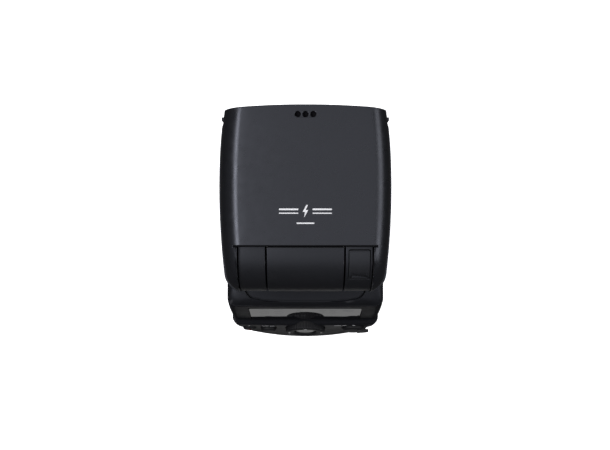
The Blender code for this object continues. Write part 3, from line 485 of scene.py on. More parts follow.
AXIS_Y, AXIS_Z = 5.0, 102.0
HEAD_FRONT, HEAD_HALF_WIDTH, HEAD_WIDEST_Y, HEAD_NARROWING = 57.15, 32.6, 28.0, 0.0017
HEAD_UP, HEAD_DOWN, HEAD_CROWN = 20.0, 23.0, 0.88
NOSE_DROP, NOSE_START, FRONT_SWEEP, FRONT_CORNER = 1.2, 40.0, 1.2, 1.0
SHOULDER, SHOULDER_START, SHOULDER_END, SHOULDER_LEAN = 8.5, 0.575, 82.0, 0.7
CHEEK_BACK, CHEEK_DOWN, BOTTOM_START, REAR_CORNER = 18.4, 18.4, 17.0, 7.0
SIDE_BULGE, BOTTOM_CORNER, COVER_WALL, SEAM_HALF_GAP = 1.4, 7.0, 1.8, 0.15
# The lip is matte black and fills a notch at the top cover's rear edge: painted shadow for the gap between
# cover and drum.
COVER_EDGE_HALF, COVER_EDGE_LAP, SHADOW_LIP_HALF = 26.6, 0.5, 26.5
SHADOW_LIP = [(AXIS_Y, 120.15), (AXIS_Y + 0.6, 120.15), (AXIS_Y + 0.6, 121.2), (AXIS_Y + 0.1, 121.2),
       (AXIS_Y, 121.0)]
GRIP_PITCH, GRIP_Y, GRIP_FLOOR, GRIP_RADIUS = 2.83, 53.5, 120.9, 1.05
LUG_IN, LUG_OUT, LUG_BACK, LUG_FRONT, LUG_LOW, LUG_HIGH = 30.2, 32.95, 53.9, 55.4, 92.5, 100.5

BARREL_RADIUS, BARREL_WALL, NECK_HALF, HUB_START, HUB_END = 17.8, 2.0, 14.3, 14.9, 24.9
CHANNEL_HALF, CHANNEL_RADIUS, CHANNEL_WALL = 25.2, 18.2, 1.6
AXLE_RADIUS, WIRE_WAY, STEM_HALF = 4.0, 6.0, 13.0
BUTTON_ANGLE, BUTTON_LOW, BUTTON_OPENING_LOW = 24.0, 12.4, 10.5
BUTTON_START, BUTTON_END, BUTTON_HALF, BUTTON_GAP = 16.0, 24.1, 6.2, 0.13
LENS_HALF, LENS_LOW, LENS_HIGH, LENS_RIBS = 27.2, 82.8, 114.6, 42

PANEL_TILT = math.radians(19.5)
PANEL_TOP_Y, PANEL_TOP_Z, PANEL_ORIGIN_Z = -22.4, 71.5, 30.0
PANEL_ORIGIN_Y = PANEL_TOP_Y - (PANEL_TOP_Z - PANEL_ORIGIN_Z) * math.tan(PANEL_TILT)
CASE_LOW, CASE_HIGH, FRONT_LOW_Y, FRONT_SLOPE = 17.0, 71.0, 16.0, 0.215
CASE_WIDTHS = [(17.0, 31.4), (30.0, 33.0), (46.2, 33.7), (47.4, 33.7), (60.0, 33.9), (71.0, 33.6)]
CASE_WALL, REAR_DEPTH, REAR_SEAM_Z, REAR_SEAM_HALF_GAP = 2.0, 8.0, 71.8, 0.15
BACK_RADIUS, FRONT_RADIUS, BOW = 3.4, 9.0, 3.2
SWELL_LOW, SWELL_HIGH, SWELL_TOP_Z, SWELL_END_Z = 1.15, 2.1, 46.2, 47.4
DECK_Z, PLATEAU_Z, PLATEAU_HALF, PLATEAU_BACK = 75.0, 76.2, 25.3, -19.3
PLATEAU_GROOVE, PLATEAU_GROOVE_DEPTH = 0.7, 0.9
TURNTABLE_RADIUS, TURNTABLE_BORE = 19.5, 9.4
WINDOW_HALF, WINDOW_LOW, WINDOW_HIGH = 24.6, 19.1, 40.3
WINDOW_DEPTHS, SEAT_DEPTHS, SEGMENT_DEPTHS = (-1.5, -0.1), (-1.9, -0.12), (-0.14, -0.07)
CONTROLS_UP, CONTROLS_OUT = 8.4, 1.8
DIAL_RADIUS, SET_RADIUS = 9.2, 4.9
TEST_X, TEST_RADIUS, TEST_SINK = -26.4, 3.1, 0.5
MODE_X, MODE_RADIUS = -17.4, 3.6
POWER_X, POWER_RADIUS = 22.6, 5.2
DOOR_BACK, DOOR_FRONT, DOOR_TOP, DOOR_INNER_X = -18.3, 14.3, 49.0, -29.0
DOOR_AXIS_X, DOOR_AXIS_Z, KNUCKLE_RADIUS, HINGE_PIN_RADIUS = -31.2, 17.6, 1.6, 0.7
SCREW_PLACES = [(x, y) for x in (-21.0, 21.0) for y in (-24.0, 4.0)]
INK_SINK, INK_PROUD = 0.05, 0.03

PANEL_TURN = Matrix.Rotation(math.radians(90) - PANEL_TILT, 4, "X")
PANEL = Matrix.Translation((0, PANEL_ORIGIN_Y, PANEL_ORIGIN_Z)) @ PANEL_TURN
ROW = PANEL @ Matrix.Translation((0, CONTROLS_UP, CONTROLS_OUT))
TILT_AXIS = Matrix.Translation((0, AXIS_Y, AXIS_Z))
RELEASE = TILT_AXIS @ Matrix.Rotation(math.radians(BUTTON_ANGLE), 4, "X")

# ---------------------------------------------------------------- head


def head_half_width(y):
    """Seen from above, the head's rear corners are round."""
    past = min(REAR_CORNER, max(0.0, AXIS_Y - CHEEK_BACK + REAR_CORNER - y))
    corner = REAR_CORNER - math.sqrt(REAR_CORNER ** 2 - past ** 2)
    return HEAD_HALF_WIDTH - HEAD_NARROWING * (y - HEAD_WIDEST_Y) ** 2 - corner


def cheek_share(y, inset):
    """Behind the tilt axis, the cheeks' height falls off as a circle's does."""
    back = min(1.0, max(0.0, (AXIS_Y - y) / (CHEEK_BACK - inset)))
    return math.sqrt(max(0.0, 1 - back * back))


def top_height(y, inset):
    nose = NOSE_DROP * max(0.0, (y - NOSE_START) / (HEAD_FRONT - NOSE_START)) ** 2
    return (HEAD_UP - inset - nose) * cheek_share(y, inset)


def bottom_height(y, inset):
    depth = CHEEK_DOWN + (HEAD_DOWN - CHEEK_DOWN) * smooth_step(y, AXIS_Y, BOTTOM_START)
    return (depth - inset) * cheek_share(y, inset)


def sweep(x, y):
    """How far the head's nose curves back at x."""
    back = FRONT_SWEEP * (x / 30) ** 2 + FRONT_CORNER * smooth_step(abs(x), 30, 34)
    return back * smooth_step(y, NOSE_START, HEAD_FRONT)


def swept(x, y, z):
    return (x, y - sweep(x, y), z)


def top_side(y, inset):
    """The top cover's right half at y, from the seam up its leaning side and shoulder to its crown."""
    width = head_half_width(y) - inset
    height = top_height(y, inset)
    radius = SHOULDER - inset
    crown = HEAD_CROWN * cheek_share(y, inset)
    side = [(width - SHOULDER_LEAN * (share / SHOULDER_START) ** 1.4, share * height)
            for share in spread(0.0, SHOULDER_START, 10)[:-1]]
    middle = (width - SHOULDER_LEAN - radius, SHOULDER_START * height)
    side += arc(middle, (radius, (1 - SHOULDER_START) * height), 0, SHOULDER_END, 22)
    flat, rim = side[-1]
    side += [(flat * share, rim + crown * (1 - share ** 2)) for share in spread(1.0, 0.0, 8)[1:-1]]
    return [(x, AXIS_Z + SEAM_HALF_GAP + z) for x, z in side]


def bottom_side(y, inset):
    """The bottom cover's right half at y, from the seam down its bulging side to its flat underside."""
    width = head_half_width(y) - inset
    height = bottom_height(y, inset)
    bulge = SIDE_BULGE - (SIDE_BULGE - 0.5) * smooth_step(y, 53, 56)
    ridge = [(0.0, 0.8 * bulge), (0.16, 0.95 * bulge), (0.32, bulge), (0.54, 0.6 * bulge), (0.7, 0.1)]
    side = [(width + through(ridge, share), share) for share in spread(0.0, 0.7, 16)[:-1]]
    side += arc((width + 0.1 - BOTTOM_CORNER + inset, 0.7), (BOTTOM_CORNER - inset, 0.3), 0, 90, 14)
    return [(x, AXIS_Z - SEAM_HALF_GAP - share * height) for x, share in side]


def mirrored(side):
    """The right half of an outline and its mirror image across x = 0."""
    return side + [(-x, other) for x, other in reversed(side)]


def head_section(y, side_of, inset, seam_shift=0.0):
    """seam_shift carries a cavity's open side past the seam."""
    side = side_of(y, inset)
    if seam_shift:
        side = [(side[0][0], side[0][1] + seam_shift)] + side
    return [swept(x, y, z) for x, z in mirrored(side)]


def head_stations(inset, front, fine=True):
    """The y of each section, from the cheeks' back to the front."""
    angles = spread(88, 0, 22) if fine else (86, 75, 60, 45, 30, 15, 0)
    cheeks = [AXIS_Y - (CHEEK_BACK - inset) * math.sin(math.radians(a)) for a in angles]
    steps = 44 if fine else 12
    return cheeks + spread(AXIS_Y, front, steps)[1:]


def head_shell(name, side_of):
    """A solid half of the head. Its front face's rim is a ring of its own, so that it can be bevelled."""
    sections = [head_section(y, side_of, 0.0) for y in head_stations(0.0, HEAD_FRONT)]
    return skin(name, sections + [head_section(HEAD_FRONT, side_of, COVER_WALL + 0.5)])


def head_cavity(side_of, seam_shift):
    """The hollow of half of the head. It leaves a wall round the hinge's channel."""
    cavity = skin(
        "cavity", [head_section(y, side_of, COVER_WALL, seam_shift)
                   for y in head_stations(COVER_WALL, HEAD_FRONT + 3, False)],
    )
    half = CHANNEL_HALF + COVER_WALL
    wall = rod("wall", (-half, AXIS_Y, AXIS_Z), (half, AXIS_Y, AXIS_Z), CHANNEL_RADIUS + CHANNEL_WALL)
    heel = block("heel", (-half, -30, 70), (half, BOTTOM_START + 1.3, AXIS_Z))
    return cut(cavity, wall, heel)


def hinge_channel():
    start, end = (-CHANNEL_HALF, AXIS_Y, AXIS_Z), (CHANNEL_HALF, AXIS_Y, AXIS_Z)
    return rod("channel", start, end, CHANNEL_RADIUS, steps=144)


def head_top():
    """The top cover, a matte black lip along its rear edge that is painted shadow for the gap there, and
    matte black discs on the floors of its three grip dots that are painted shade in their hollows.
    """
    cover = head_shell("top_cover", top_side)
    rear = AXIS_Y + COVER_EDGE_LAP
    behind = block("behind", (-CHANNEL_HALF, -30, 90), (CHANNEL_HALF, rear, 130))
    edge = block("edge", (-COVER_EDGE_HALF, AXIS_Y - 0.1, 119.4), (COVER_EDGE_HALF, rear, 130))
    places = [(GRIP_PITCH * i, GRIP_Y, GRIP_FLOOR) for i in (-1, 0, 1)]
    dots = [rod("dot", (x, y, z), (x, y, 126), GRIP_RADIUS, steps=32) for x, y, z in places]
    cut(cover, head_cavity(top_side, -3.0), hinge_channel(), behind, edge, *dots)
    round_edges(cover, 0.22)
    piece(cover, CASE, "head", "case", "head_top_cover")
    # Painted shadow: a matte black lip in the notch at the cover's rear edge.
    piece(prism("cover_shadow_lip", SHADOW_LIP, -SHADOW_LIP_HALF, SHADOW_LIP_HALF, TURN_YZ), PRINT_AND_SHADE, "head", "case")
    # Painted shade: matte black discs on the grip dots' floors darken the hollows.
    shade_dish = [(0, 0.1), (0.5, 0.15), (0.95, 0.5), (1.0, 0.5), (1.0, 0.02), (0, 0.02)]
    for place, side in zip(places, ("left", "middle", "right")):
        piece(lathe(f"grip_dot_painted_shade_{side}", shade_dish, Matrix.Translation(place), 32), PRINT_AND_SHADE, "head", "case")


def head_bottom():
    """The bottom cover, with a lug at each side of the lens."""
    cover = head_shell("bottom_cover", bottom_side)
    behind = block("behind", (-CHANNEL_HALF, -30, 70), (CHANNEL_HALF, BOTTOM_START - 0.5, 103))
    outline = softened(
        [(LUG_BACK, LUG_LOW), (LUG_FRONT, LUG_LOW), (LUG_FRONT, LUG_HIGH), (LUG_BACK, LUG_HIGH)], 0.5)
    join(cover, *(prism("lug", outline, *ends, TURN_YZ) for ends in ((-LUG_OUT, -LUG_IN), (LUG_IN, LUG_OUT))))
    cut(cover, head_cavity(bottom_side, 3.0), hinge_channel(), behind)
    round_edges(cover, 0.22)
    piece(cover, CASE, "head", "case", "head_bottom_cover")


def head_top_z(x, y):
    """The height of the head's top over (x, y)."""
    y += sweep(x, y)
    end = math.radians(SHOULDER_END)
    flat = head_half_width(y) - SHOULDER_LEAN - SHOULDER + SHOULDER * math.cos(end)
    rim = top_height(y, 0) * (SHOULDER_START + (1 - SHOULDER_START) * math.sin(end))
    return AXIS_Z + SEAM_HALF_GAP + rim + HEAD_CROWN * (1 - (x / flat) ** 2)


def printed(name, outlines, surface, body, place=None):
    """Thin white ink on a surface, from outlines in its plane. surface(x, y) is the surface's height."""
    bm = bmesh.new()
    for outline in outlines:
        low = [bm.verts.new((x, y, surface(x, y) - INK_SINK)) for x, y in outline]
        high = [bm.verts.new((x, y, surface(x, y) + INK_PROUD)) for x, y in outline]
        for i in range(len(outline)):
            j = (i + 1) % len(outline)
            bm.faces.new((low[i], low[j], high[j], high[i]))
        bm.faces.new(low)
        bm.faces.new(high)
    piece(solid(name, bm, place), PRINT, body, "white")


def bar(x0, x1, y0, y1, steps=12):
    """A rectangle. Its long sides have points to follow a curved surface with."""
    return [(x, y0) for x in spread(x0, x1, steps)] + [(x, y1) for x in spread(x1, x0, steps)]


def bolt(x, y, size):
    """A lightning bolt."""
    shape = [(0.15, 1.0), (-0.45, -0.1), (-0.05, -0.1), (-0.2, -1.0), (0.45, 0.2), (0.05, 0.2), (0.4, 1.0)]
    return [(x + size * a, y + size * b) for a, b in shape]


def head_mark():
    """A generic printed mark on the head's top."""
    shapes = [bolt(0.0, 18.0, 2.3)]
    for low, high in ((18.4, 19.0), (17.1, 17.5)):
        shapes += [bar(-9.6, -2.6, low, high), bar(2.6, 9.6, low, high)]
    printed("head_mark", shapes + [bar(-3.2, 3.2, 13.4, 13.9)], head_top_z, "head")


def lens():
    """A fresnel panel: smooth outside, and ribbed inside along its length."""
    pitch = (LENS_HIGH - LENS_LOW) / LENS_RIBS
    face, valley, crest = HEAD_FRONT - 0.5, HEAD_FRONT - 2.05, HEAD_FRONT - 2.55
    profile = [(face, LENS_LOW), (face, LENS_HIGH)]
    for i in range(LENS_RIBS):
        z = LENS_HIGH - pitch * i
        if z > (LENS_LOW + LENS_HIGH) / 2:
            profile += [(valley, z - 0.02), (crest, z - pitch + 0.04)]
        else:
            profile += [(crest, z - 0.04), (valley, z - pitch + 0.02)]
    sections = [[swept(x, y, z) for y, z in profile] for x in spread(-LENS_HALF, LENS_HALF, 28)]
    piece(skin("fresnel_lens", sections), CLEAR, "head", "clear", "fresnel_panel", smooth=20)


# ---------------------------------------------------------------- hinge and neck


def release_outline(gap, radius):
    start, end, half = BUTTON_START + gap, BUTTON_END - gap, BUTTON_HALF - gap
    return softened([(start, -half), (end, -half), (end, half), (start, half)], radius)


def hubs():
    """The drum's two ends turn with the head. The right one holds the tilt release button."""
    outer, inner, floor = BARREL_RADIUS - 0.1, BARREL_RADIUS - BARREL_WALL, HUB_START + BARREL_WALL
    bore = AXLE_RADIUS + GAP
    profile = softened(
        [(bore, HUB_START), (outer, HUB_START), (outer, HUB_END), (inner, HUB_END), (inner, floor),
         (bore, floor)], 0.35,
    )
    left = lathe("left_hub", profile, TILT_AXIS @ Matrix.Rotation(math.pi, 4, "Z") @ TURN_X, 144)
    piece(left, BARREL, "head", "barrel", "hinge_hub_left")
    right = lathe("right_hub", profile, TILT_AXIS @ TURN_X, 144)
    cut(right, prism("opening", release_outline(0.0, 0.8), BUTTON_OPENING_LOW, 25, RELEASE))
    round_edges(right, 0.18, angle=50)
    piece(right, BARREL, "head", "barrel", "hinge_hub_right")

    button = prism("release_button", release_outline(BUTTON_GAP, 0.7), BUTTON_LOW, 20.0, RELEASE)
    keep(button, rod("crown", (10, 0, 0), (30, 0, 0), BARREL_RADIUS + 0.1, TILT_AXIS, steps=144))
    height = BARREL_RADIUS - 0.5
    for i in range(4):
        y = -4.6 + 1.1 * i
        cut(button, rod("groove", (17.4, y, height), (22.7, y, height), 0.3, RELEASE, 20))
    round_edges(button, 0.2, angle=45)
    piece(button, BARREL, "tilt_release", "barrel", "tilt_release_button")


def neck():
    """Two half shells, each a drum's half on a column's half, and the disc that they swivel on."""
    axis = (AXIS_Y, AXIS_Z)
    stem = softened([(-8.5, 78.5), (15.5, 78.5), (14.5, 94), (-8.5, 94)], 0.8)
    drum = softened(
        [(0, -NECK_HALF), (BARREL_RADIUS, -NECK_HALF), (BARREL_RADIUS, NECK_HALF), (0, NECK_HALF)], 0.35)
    drum = [(radius, x) for radius, x in drum if radius > 0.5]
    drum = [(0, drum[0][1])] + drum + [(0, drum[-1][1])]
    for name, cut_from, cut_to, node in (
        ("neck_rear", AXIS_Y - SEAM_HALF_GAP, AXIS_Y + 40, "neck_rear_shell"),
        ("neck_front", AXIS_Y - 40, AXIS_Y + SEAM_HALF_GAP, "neck_front_shell"),
    ):
        shell = lathe(name, drum, TILT_AXIS @ TURN_X, 144)
        join(shell, prism("column", stem, -STEM_HALF, STEM_HALF, TURN_YZ))
        cavity = rod("cavity", (-NECK_HALF + BARREL_WALL, *axis), (NECK_HALF - BARREL_WALL, *axis),
                     BARREL_RADIUS - BARREL_WALL)
        bore = rod("bore", (-20, *axis), (20, *axis), AXLE_RADIUS + 0.05)
        wires = rod("wires", (0, AXIS_Y, 70), (0, AXIS_Y, 95), WIRE_WAY)
        cut(shell, cavity, bore, wires, block("split", (-40, cut_from, 60), (40, cut_to, 140)))
        round_edges(shell, 0.2, angle=50)
        piece(shell, BARREL, "neck", "barrel", node)

    profile = softened(
        [(6.3, 78.2), (TURNTABLE_RADIUS, 78.2), (TURNTABLE_RADIUS, 76.7), (9.0, 76.7), (9.0, 70.4),
         (6.3, 70.4)], 0.4,
    )
    disc = lathe("swivel_disc", profile, Matrix.Translation((0, AXIS_Y, 0)), 144)
    piece(disc, BARREL, "neck", "barrel", "turntable")


# ---------------------------------------------------------------- case


def panel_y(z):
    """The case's back, but for its bow and swell."""
    return PANEL_TOP_Y - (PANEL_TOP_Z - z) * math.tan(PANEL_TILT)


def case_front_y(z):
    return FRONT_LOW_Y + (z - CASE_LOW) * FRONT_SLOPE


def swell(z):
    """The case swells out below the display, where the controls are, and less towards its foot."""
    below = SWELL_LOW + (SWELL_HIGH - SWELL_LOW) * max(0.0, z - CASE_LOW) / (SWELL_TOP_Z - CASE_LOW)
    return below * (1 - smooth_step(z, SWELL_TOP_Z, SWELL_END_Z))


def case_bow(z):
    """How far the back's middle stands out past its sides, which grows towards the foot."""
    return 0.3 + BOW * smooth_step(-z, -46, -17)


def case_section(z, half_width, back, front, inset=0.0, fine=True, softer=0.0):
    """A level outline of the case. softer widens the rear corners' radius."""
    half_width -= inset
    back += inset - swell(z)
    front -= inset
    back_radius, front_radius = BACK_RADIUS + softer - inset, FRONT_RADIUS - inset
    bow = case_bow(z)
    edge = half_width - back_radius

    def bowed(x):
        return back + bow * (x / 30) ** 2

    flats, corner = (12, 20) if fine else (4, 6)
    right = [(edge * share, bowed(edge * share)) for share in spread(0.0, 1.0, flats)[1:-1]]
    right += arc((edge, bowed(edge) + back_radius), (back_radius, back_radius), -90, 0, corner)
    middle = (half_width - front_radius, front - front_radius)
    right += arc(middle, (front_radius, front_radius), 0, 90, corner)
    return [(x, y, z) for x, y in mirrored(right)]


def case_sections():
    """From the case's rounded underside to its rounded deck."""
    sections = []
    for turn in spread(90, 0, 9)[:-1]:
        z = CASE_LOW - 3.0 * math.sin(math.radians(turn))
        curl = 1 - math.cos(math.radians(turn))
        half_width = CASE_WIDTHS[0][1] - 2.9 * curl
        sections.append(case_section(z, half_width, panel_y(z) + 4.8 * curl, case_front_y(z) - 3.6 * curl))
    for z in sorted(spread(CASE_LOW, CASE_HIGH, 27) + [SWELL_TOP_Z, 46.45, 46.65, 46.95, 47.15, SWELL_END_Z]):
        sections.append(case_section(z, through(CASE_WIDTHS, z), panel_y(z), case_front_y(z)))
    for turn in spread(0, 90, 12)[1:]:
        z = CASE_HIGH + 4.0 * math.sin(math.radians(turn))
        curl = 1 - math.cos(math.radians(turn))
        half_width = CASE_WIDTHS[-1][1] - 4.8 * curl
        back, front = panel_y(z) + 4.4 * curl, case_front_y(z) - 4.3 * curl
        sections.append(case_section(z, half_width, back, front, softer=4.0 * curl))
    return sections


def case_cavity():
    levels = [(16.0, 30.6, panel_y(CASE_LOW), case_front_y(CASE_LOW) - 0.7)]
    levels += [(z, half, panel_y(z), case_front_y(z)) for z, half in CASE_WIDTHS]
    levels += [(DECK_Z - CASE_WALL, 32.6, panel_y(73), 27.2)]
    return skin("cavity", [case_section(*level, CASE_WALL, False) for level in levels])


def rear_zone(margin):
    """Where the rear case is: a slab under the control panel, up to the seam below the deck."""
    zone = block("zone", (-60, -60, -REAR_DEPTH - margin), (60, 80, 40), PANEL)
    return cut(zone, block("above", (-60, -90, REAR_SEAM_Z + margin), (60, 60, 120)))


def window_outline(margin, radius=1.1):
    x, low, high = WINDOW_HALF + margin, WINDOW_LOW - margin, WINDOW_HIGH + margin
    return softened([(-x, low), (x, low), (x, high), (-x, high)], radius)


def rear_case():
    rear = skin("rear_case_shell", case_sections())
    keep(rear, rear_zone(-REAR_SEAM_HALF_GAP))
    keys = ((0.0, DIAL_RADIUS), (TEST_X, TEST_RADIUS), (MODE_X, MODE_RADIUS), (POWER_X, POWER_RADIUS))
    holes = [rod("hole", (x, 0, -12), (x, 0, 12), radius + GAP, ROW, 72) for x, radius in keys]
    cut(rear, case_cavity(), prism("window", window_outline(GAP), -20, 20, PANEL), *holes)
    round_edges(rear, 0.22, angle=42)
    piece(rear, CONTROL_PANEL, "body", "case", "rear_case")


def plateau_outline(margin=0.0):
    """The raised part of the deck that the turntable stands on."""
    radius, bow, back = 5.0 + margin, 1.2, PLATEAU_BACK - margin
    edge = PLATEAU_HALF + margin - radius
    right = [(edge * share, back + bow * (share * edge / PLATEAU_HALF) ** 2)
             for share in spread(0, 1, 10)[1:-1]]
    right += arc((edge, back + bow + radius), (radius, radius), -90, 0, 14)
    return mirrored(right + [(PLATEAU_HALF + margin, 14.0), (16.0, 23.0)])


def door_zone(margin):
    """Where the battery door is or, with a margin, the opening for it and its knuckle."""
    low = DOOR_AXIS_Z - (KNUCKLE_RADIUS + GAP if margin else 0)
    inner = -27.0 if margin else DOOR_INNER_X
    return block("door_zone", (-50, DOOR_BACK - margin, low), (inner, DOOR_FRONT + margin, DOOR_TOP + margin))


def along_door_axis(name, past, radius, steps):
    start, end = (DOOR_AXIS_X, DOOR_BACK - past, DOOR_AXIS_Z), (DOOR_AXIS_X, DOOR_FRONT + past, DOOR_AXIS_Z)
    return rod(name, start, end, radius, steps=steps)


def pin_way():
    return along_door_axis("pin_way", 2, HINGE_PIN_RADIUS + 0.15, 24)


def front_case():
    """The body's main shell, open for the rear case, door, swivel, beam window and screws."""
    front = skin("front_case_shell", case_sections())
    cut(front, prism("groove", plateau_outline(PLATEAU_GROOVE), DECK_Z - PLATEAU_GROOVE_DEPTH, DECK_Z + 5))
    join(front, prism("plateau", plateau_outline(), DECK_Z - 1.8, PLATEAU_Z))
    swivel = rod("swivel", (0, AXIS_Y, 70), (0, AXIS_Y, 80), TURNTABLE_BORE, steps=72)
    beam = block("beam", (-13.0, 13.6, 24.0), (13.0, 40, 40.0))
    seats = []
    for x, y in SCREW_PLACES:
        seats += [rod("seat", (x, y, 12), (x, y, 15.1), 2.6, steps=32),
                  rod("way", (x, y, 12), (x, y, 17), 1.3)]
    cut(front, case_cavity(), rear_zone(REAR_SEAM_HALF_GAP), swivel, door_zone(GAP), beam, pin_way(), *seats)
    round_edges(front, 0.25, angle=42)
    piece(front, BODY, "body", "case", "front_case")


def battery_door():
    """Part of the case's left side, with a knuckle below and grip grooves that follow its curve."""
    door = skin("battery_door_panel", case_sections())
    keep(door, door_zone(0.0))
    join(door, along_door_axis("knuckle", 0, KNUCKLE_RADIUS, 36))
    floor = [(0.4 - through(CASE_WIDTHS, z), z) for z in spread(26.0, 39.0, 4)]
    outline = [(-50.0, 26.0)] + floor + [(-50.0, 39.0)]
    grooves = [prism("groove", outline, y, y + 0.9, TURN_XZ) for y in spread(-9.0, 6.4, 7)]
    cut(door, pin_way(), block("latch_seat", (-50, -7.2, 42.0), (-32.3, 4.2, 45.6)), *grooves)
    round_edges(door, 0.2, angle=42)
    piece(door, BODY, "door", "case", "battery_door")


# ---------------------------------------------------------------- controls


def capped(profile, radius=0.3):
    """A profile from the axis out and back to it, with its corners rounded."""
    points_per_corner = 5
    inner = softened(profile, radius)[points_per_corner:-points_per_corner]
    return [profile[0]] + inner + [profile[-1]]


def controls():
    """Keys, dial and lever. Each has a wider skirt inside the case, which keeps it in."""
    for name, place, radius, proud, skirt, node, body in (
        ("test_key", (TEST_X, 0, -TEST_SINK), TEST_RADIUS, 1.0, -6.2, "test_button", "test"),
        ("mode_key", (MODE_X, 0, 0), MODE_RADIUS, 1.5, -4.0, "mode_button", "mode"),
    ):
        profile = [(0, proud), (radius - 0.5, proud - 0.05), (radius, proud - 0.6), (radius, skirt),
                   (radius + 0.5, skirt), (radius + 0.5, skirt - 0.8), (0, skirt - 0.8)]
        key = lathe(name, capped(profile, 0.35), ROW @ Matrix.Translation(place), 72)
        piece(key, DIAL, body, "rubber", node)

    def knurl(angle, radius, height):
        side = radius > DIAL_RADIUS - 0.7 and -1.6 < height < 1.75
        return 0.12 * math.cos(44 * angle) - 0.1 if side else 0.0

    bore, skirt = SET_RADIUS + GAP, DIAL_RADIUS + 0.9
    ring = softened(
        [(bore, 1.6), (6.2, 2.15), (8.6, 2.2), (DIAL_RADIUS, 1.6), (DIAL_RADIUS, -4.0), (skirt, -4.0),
         (skirt, -4.8), (bore, -4.8)], 0.35, 5,
    )
    dial = lathe("dial_ring", ring, ROW, 264, knurl)
    piece(dial, DIAL, "dial", "rubber", "select_dial", smooth=50)
    profile = [(0, 1.15), (3.6, 1.4), (SET_RADIUS - 0.2, 1.25), (SET_RADIUS, 0.8), (SET_RADIUS, -5.2),
               (0, -5.2)]
    piece(lathe("set_key", capped(profile, 0.35), ROW, 96), GLOSS, "set", "gloss", "set_button")

    place = ROW @ Matrix.Translation((POWER_X, 0, 0))
    skirt = POWER_RADIUS + 0.8
    profile = [(0, 1.4), (4.4, 1.3), (POWER_RADIUS, 0.7), (POWER_RADIUS, -4.8), (skirt, -4.8), (skirt, -5.6),
               (0, -5.6)]
    lever = lathe("power_switch", capped(profile, 0.4), place, 96)
    tab = [(2.0, -3.2), (5.7, -1.9)] + arc((5.8, 0), (1.5, 1.5), -70, 70, 9) + [(5.7, 1.9), (2.0, 3.2)]
    join(lever, prism("tab", tab, 0.5, 1.8, place))
    round_edges(lever, 0.25, 3, 40)
    piece(lever, DIAL, "power", "rubber", "power_lever")

    test_lamp = lathe(
        "test_lamp", [(0, 0.35), (0.5, 0.3), (0.8, 0.1), (0.8, -0.3), (0, -0.3)],
        ROW @ Matrix.Translation((TEST_X, 0, 1.0 - TEST_SINK)), 32,
    )
    piece(test_lamp, RED, "test", "red_window")


# ---------------------------------------------------------------- display and legends


def display():
    """A dark gloss pane in a seat of its own, with unlit segments on its face."""
    window = prism("window_glass", window_outline(0.0, 1.0), *WINDOW_DEPTHS, PANEL)
    piece(window, SMOKED, "body", "clear", "display_window")
    seat = prism("window_seat", window_outline(0.25, 1.2), *SEAT_DEPTHS, PANEL)
    cut(seat, prism("inside", window_outline(-0.03, 1.0), -4, 4, PANEL))
    piece(seat, PRINT_AND_SHADE, "body", "gloss")

    def segment(outline):
        return prism("segment", outline, *SEGMENT_DEPTHS, PANEL)

    shapes = []
    for i in range(7):
        x = -20.5 + 3.1 * i
        shapes.append(bar(x, x + 2.2, 26.0, 27.1, 1))
    for i in range(11):
        x = 5.0 + 1.6 * i
        shapes.append(bar(x, x + 0.5, 26.0, 26.9 + 0.8 * (i % 5 == 0), 1))
    for x in (-20.5, -14.2):
        shapes += seven_segments(x, 30.0, 4.6, 8.6)
    shapes += seven_segments(6.0, 31.5, 3.2, 6.0) + seven_segments(10.6, 31.5, 3.2, 6.0)
    shapes.append(bolt(-3.0, 35.5, 2.6))
    shapes += [bar(16.5, 21.3, 35.0, 35.4, 1), bar(16.5, 21.3, 37.4, 37.8, 1), bar(16.5, 16.9, 35.5, 37.3, 1),
               bar(20.9, 21.3, 35.5, 37.3, 1), bar(17.3, 18.9, 35.8, 37.0, 1)]
    first = segment(shapes[0])
    bm = bmesh.new()
    bm.from_mesh(first.data)
    for shape in shapes[1:]:
        extra = segment(shape)
        bm.from_mesh(extra.data)
        bpy.data.objects.remove(extra)
    bm.to_mesh(first.data)
    bm.free()
    first.name = "display_segments"
    piece(first, SEGMENT, "body", "display")


def seven_segments(x, y, width, height):
    """An unlit digit: all seven of its strokes."""
    stroke, gap = 0.55, 0.18
    half = height / 2
    flat = [bar(x + gap + stroke / 2, x + width - gap - stroke / 2,
                y + at - stroke / 2, y + at + stroke / 2, 1)
            for at in (stroke / 2, half, height - stroke / 2)]
    tall = [bar(x + side, x + side + stroke,
                y + low + gap + stroke / 2, y + low + half - gap - stroke / 2, 1)
            for side in (0, width - stroke) for low in (0, half)]
    return flat + tall


def panel_z(x, y):
    """How far the case's back stands out of the panel's plane, at (x, y) on the panel."""
    out = 0.0
    for _ in range(3):
        z = PANEL_ORIGIN_Z + y * math.cos(PANEL_TILT) + out * math.sin(PANEL_TILT)
        out = (swell(z) - case_bow(z) * (x / 30) ** 2) * math.cos(PANEL_TILT)
    return out


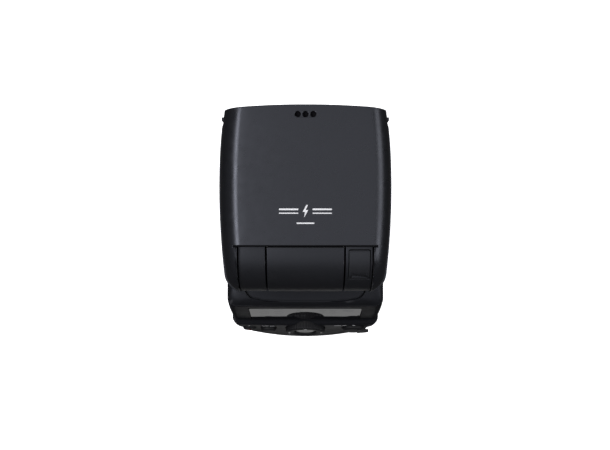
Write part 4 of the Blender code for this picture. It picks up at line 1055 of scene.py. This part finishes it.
def legends():
    """Pictograms by the controls, and the dial's marks. There is no lettering."""
    shapes = [bolt(-26.4, 13.2, 0.9), bar(-20.2, -17.2, 13.2, 13.7, 3), bar(-16.6, -14.6, 13.2, 13.7, 3)]
    shapes += [bar(13.4, 16.6, 14.3, 14.8, 3), bar(17.3, 19.2, 14.3, 14.8, 3)]
    shapes.append(arc((22.6, 14.6), (0.7, 0.7), 0, 330, 12))
    printed("panel_legends", shapes, panel_z, "body", PANEL)
    marks = []
    for i in range(4):
        turn = math.radians(90 * i + 90)
        tip = [(0.0, 8.2), (-0.75, 7.2), (0.75, 7.2)]
        marks.append([(x * math.cos(turn) - y * math.sin(turn), x * math.sin(turn) + y * math.cos(turn))
                      for x, y in tip])
    printed("dial_marks", marks, lambda x, y: 2.17, "dial", ROW)


# ---------------------------------------------------------------- CAD nodes that stay

STAYING = {
    "front_bezel": (GLOSS, 0.2), "wide_panel": (CLEAR, 0.15), "catchlight_panel": (WHITE, 0.12),
    "panel_guide": (INNER, 0.1), "zoom_carriage": (INNER, 0.25), "reflector": (MIRROR, 0.0),
    "flash_tube": (QUARTZ, 0.3), "guide_rod_left": (STEEL, 0.15), "guide_rod_right": (STEEL, 0.15),
    "zoom_lead_screw": (STEEL, 0.1), "zoom_motor": (STEEL, 0.25), "head_board": (BOARD, 0.1),
    "tilt_axle": (STEEL, 0.2), "swivel_ring": (STEEL, 0.15), "lcd_module": (DISPLAY, 0.1),
    "main_board": (BOARD, 0.1), "main_capacitor": (SLEEVE, 0.6), "transformer": (INNER, 0.0),
    "battery_holder": (INNER, 0.3), "battery_contact_plate": (BRASS, 0.1), "door_contact": (BRASS, 0.1),
    "door_hinge_pin": (STEEL, 0.1), "door_latch": (RUBBER, 0.2), "af_beam_window": (RED, 0.2),
    "foot_pedestal": (BODY, 0.3), "shoe_foot": (STEEL, 0.2), "contact_block": (INNER, 0.15),
    "lock_lever": (RUBBER, 0.35), "lock_pin": (STEEL, 0.25),
}
for index in range(1, 5):
    STAYING[f"aa_cell_{index}"] = (CELL, 0.5)
    STAYING[f"case_screw_{index}"] = (STEEL, 0.1)
for index in range(1, 6):
    STAYING[f"contact_pin_{index}"] = (BRASS, 0.25)


def finish_cad_nodes():
    for name, (material, edge) in STAYING.items():
        node = NODES[name]
        node.data.materials.clear()
        node.data.materials.append(material)
        if edge:
            round_edges(node, edge, 2, 40, 0.005)


head_top()
head_bottom()
head_mark()
lens()
hubs()
neck()
rear_case()
front_case()
battery_door()
controls()
display()
legends()
finish_cad_nodes()

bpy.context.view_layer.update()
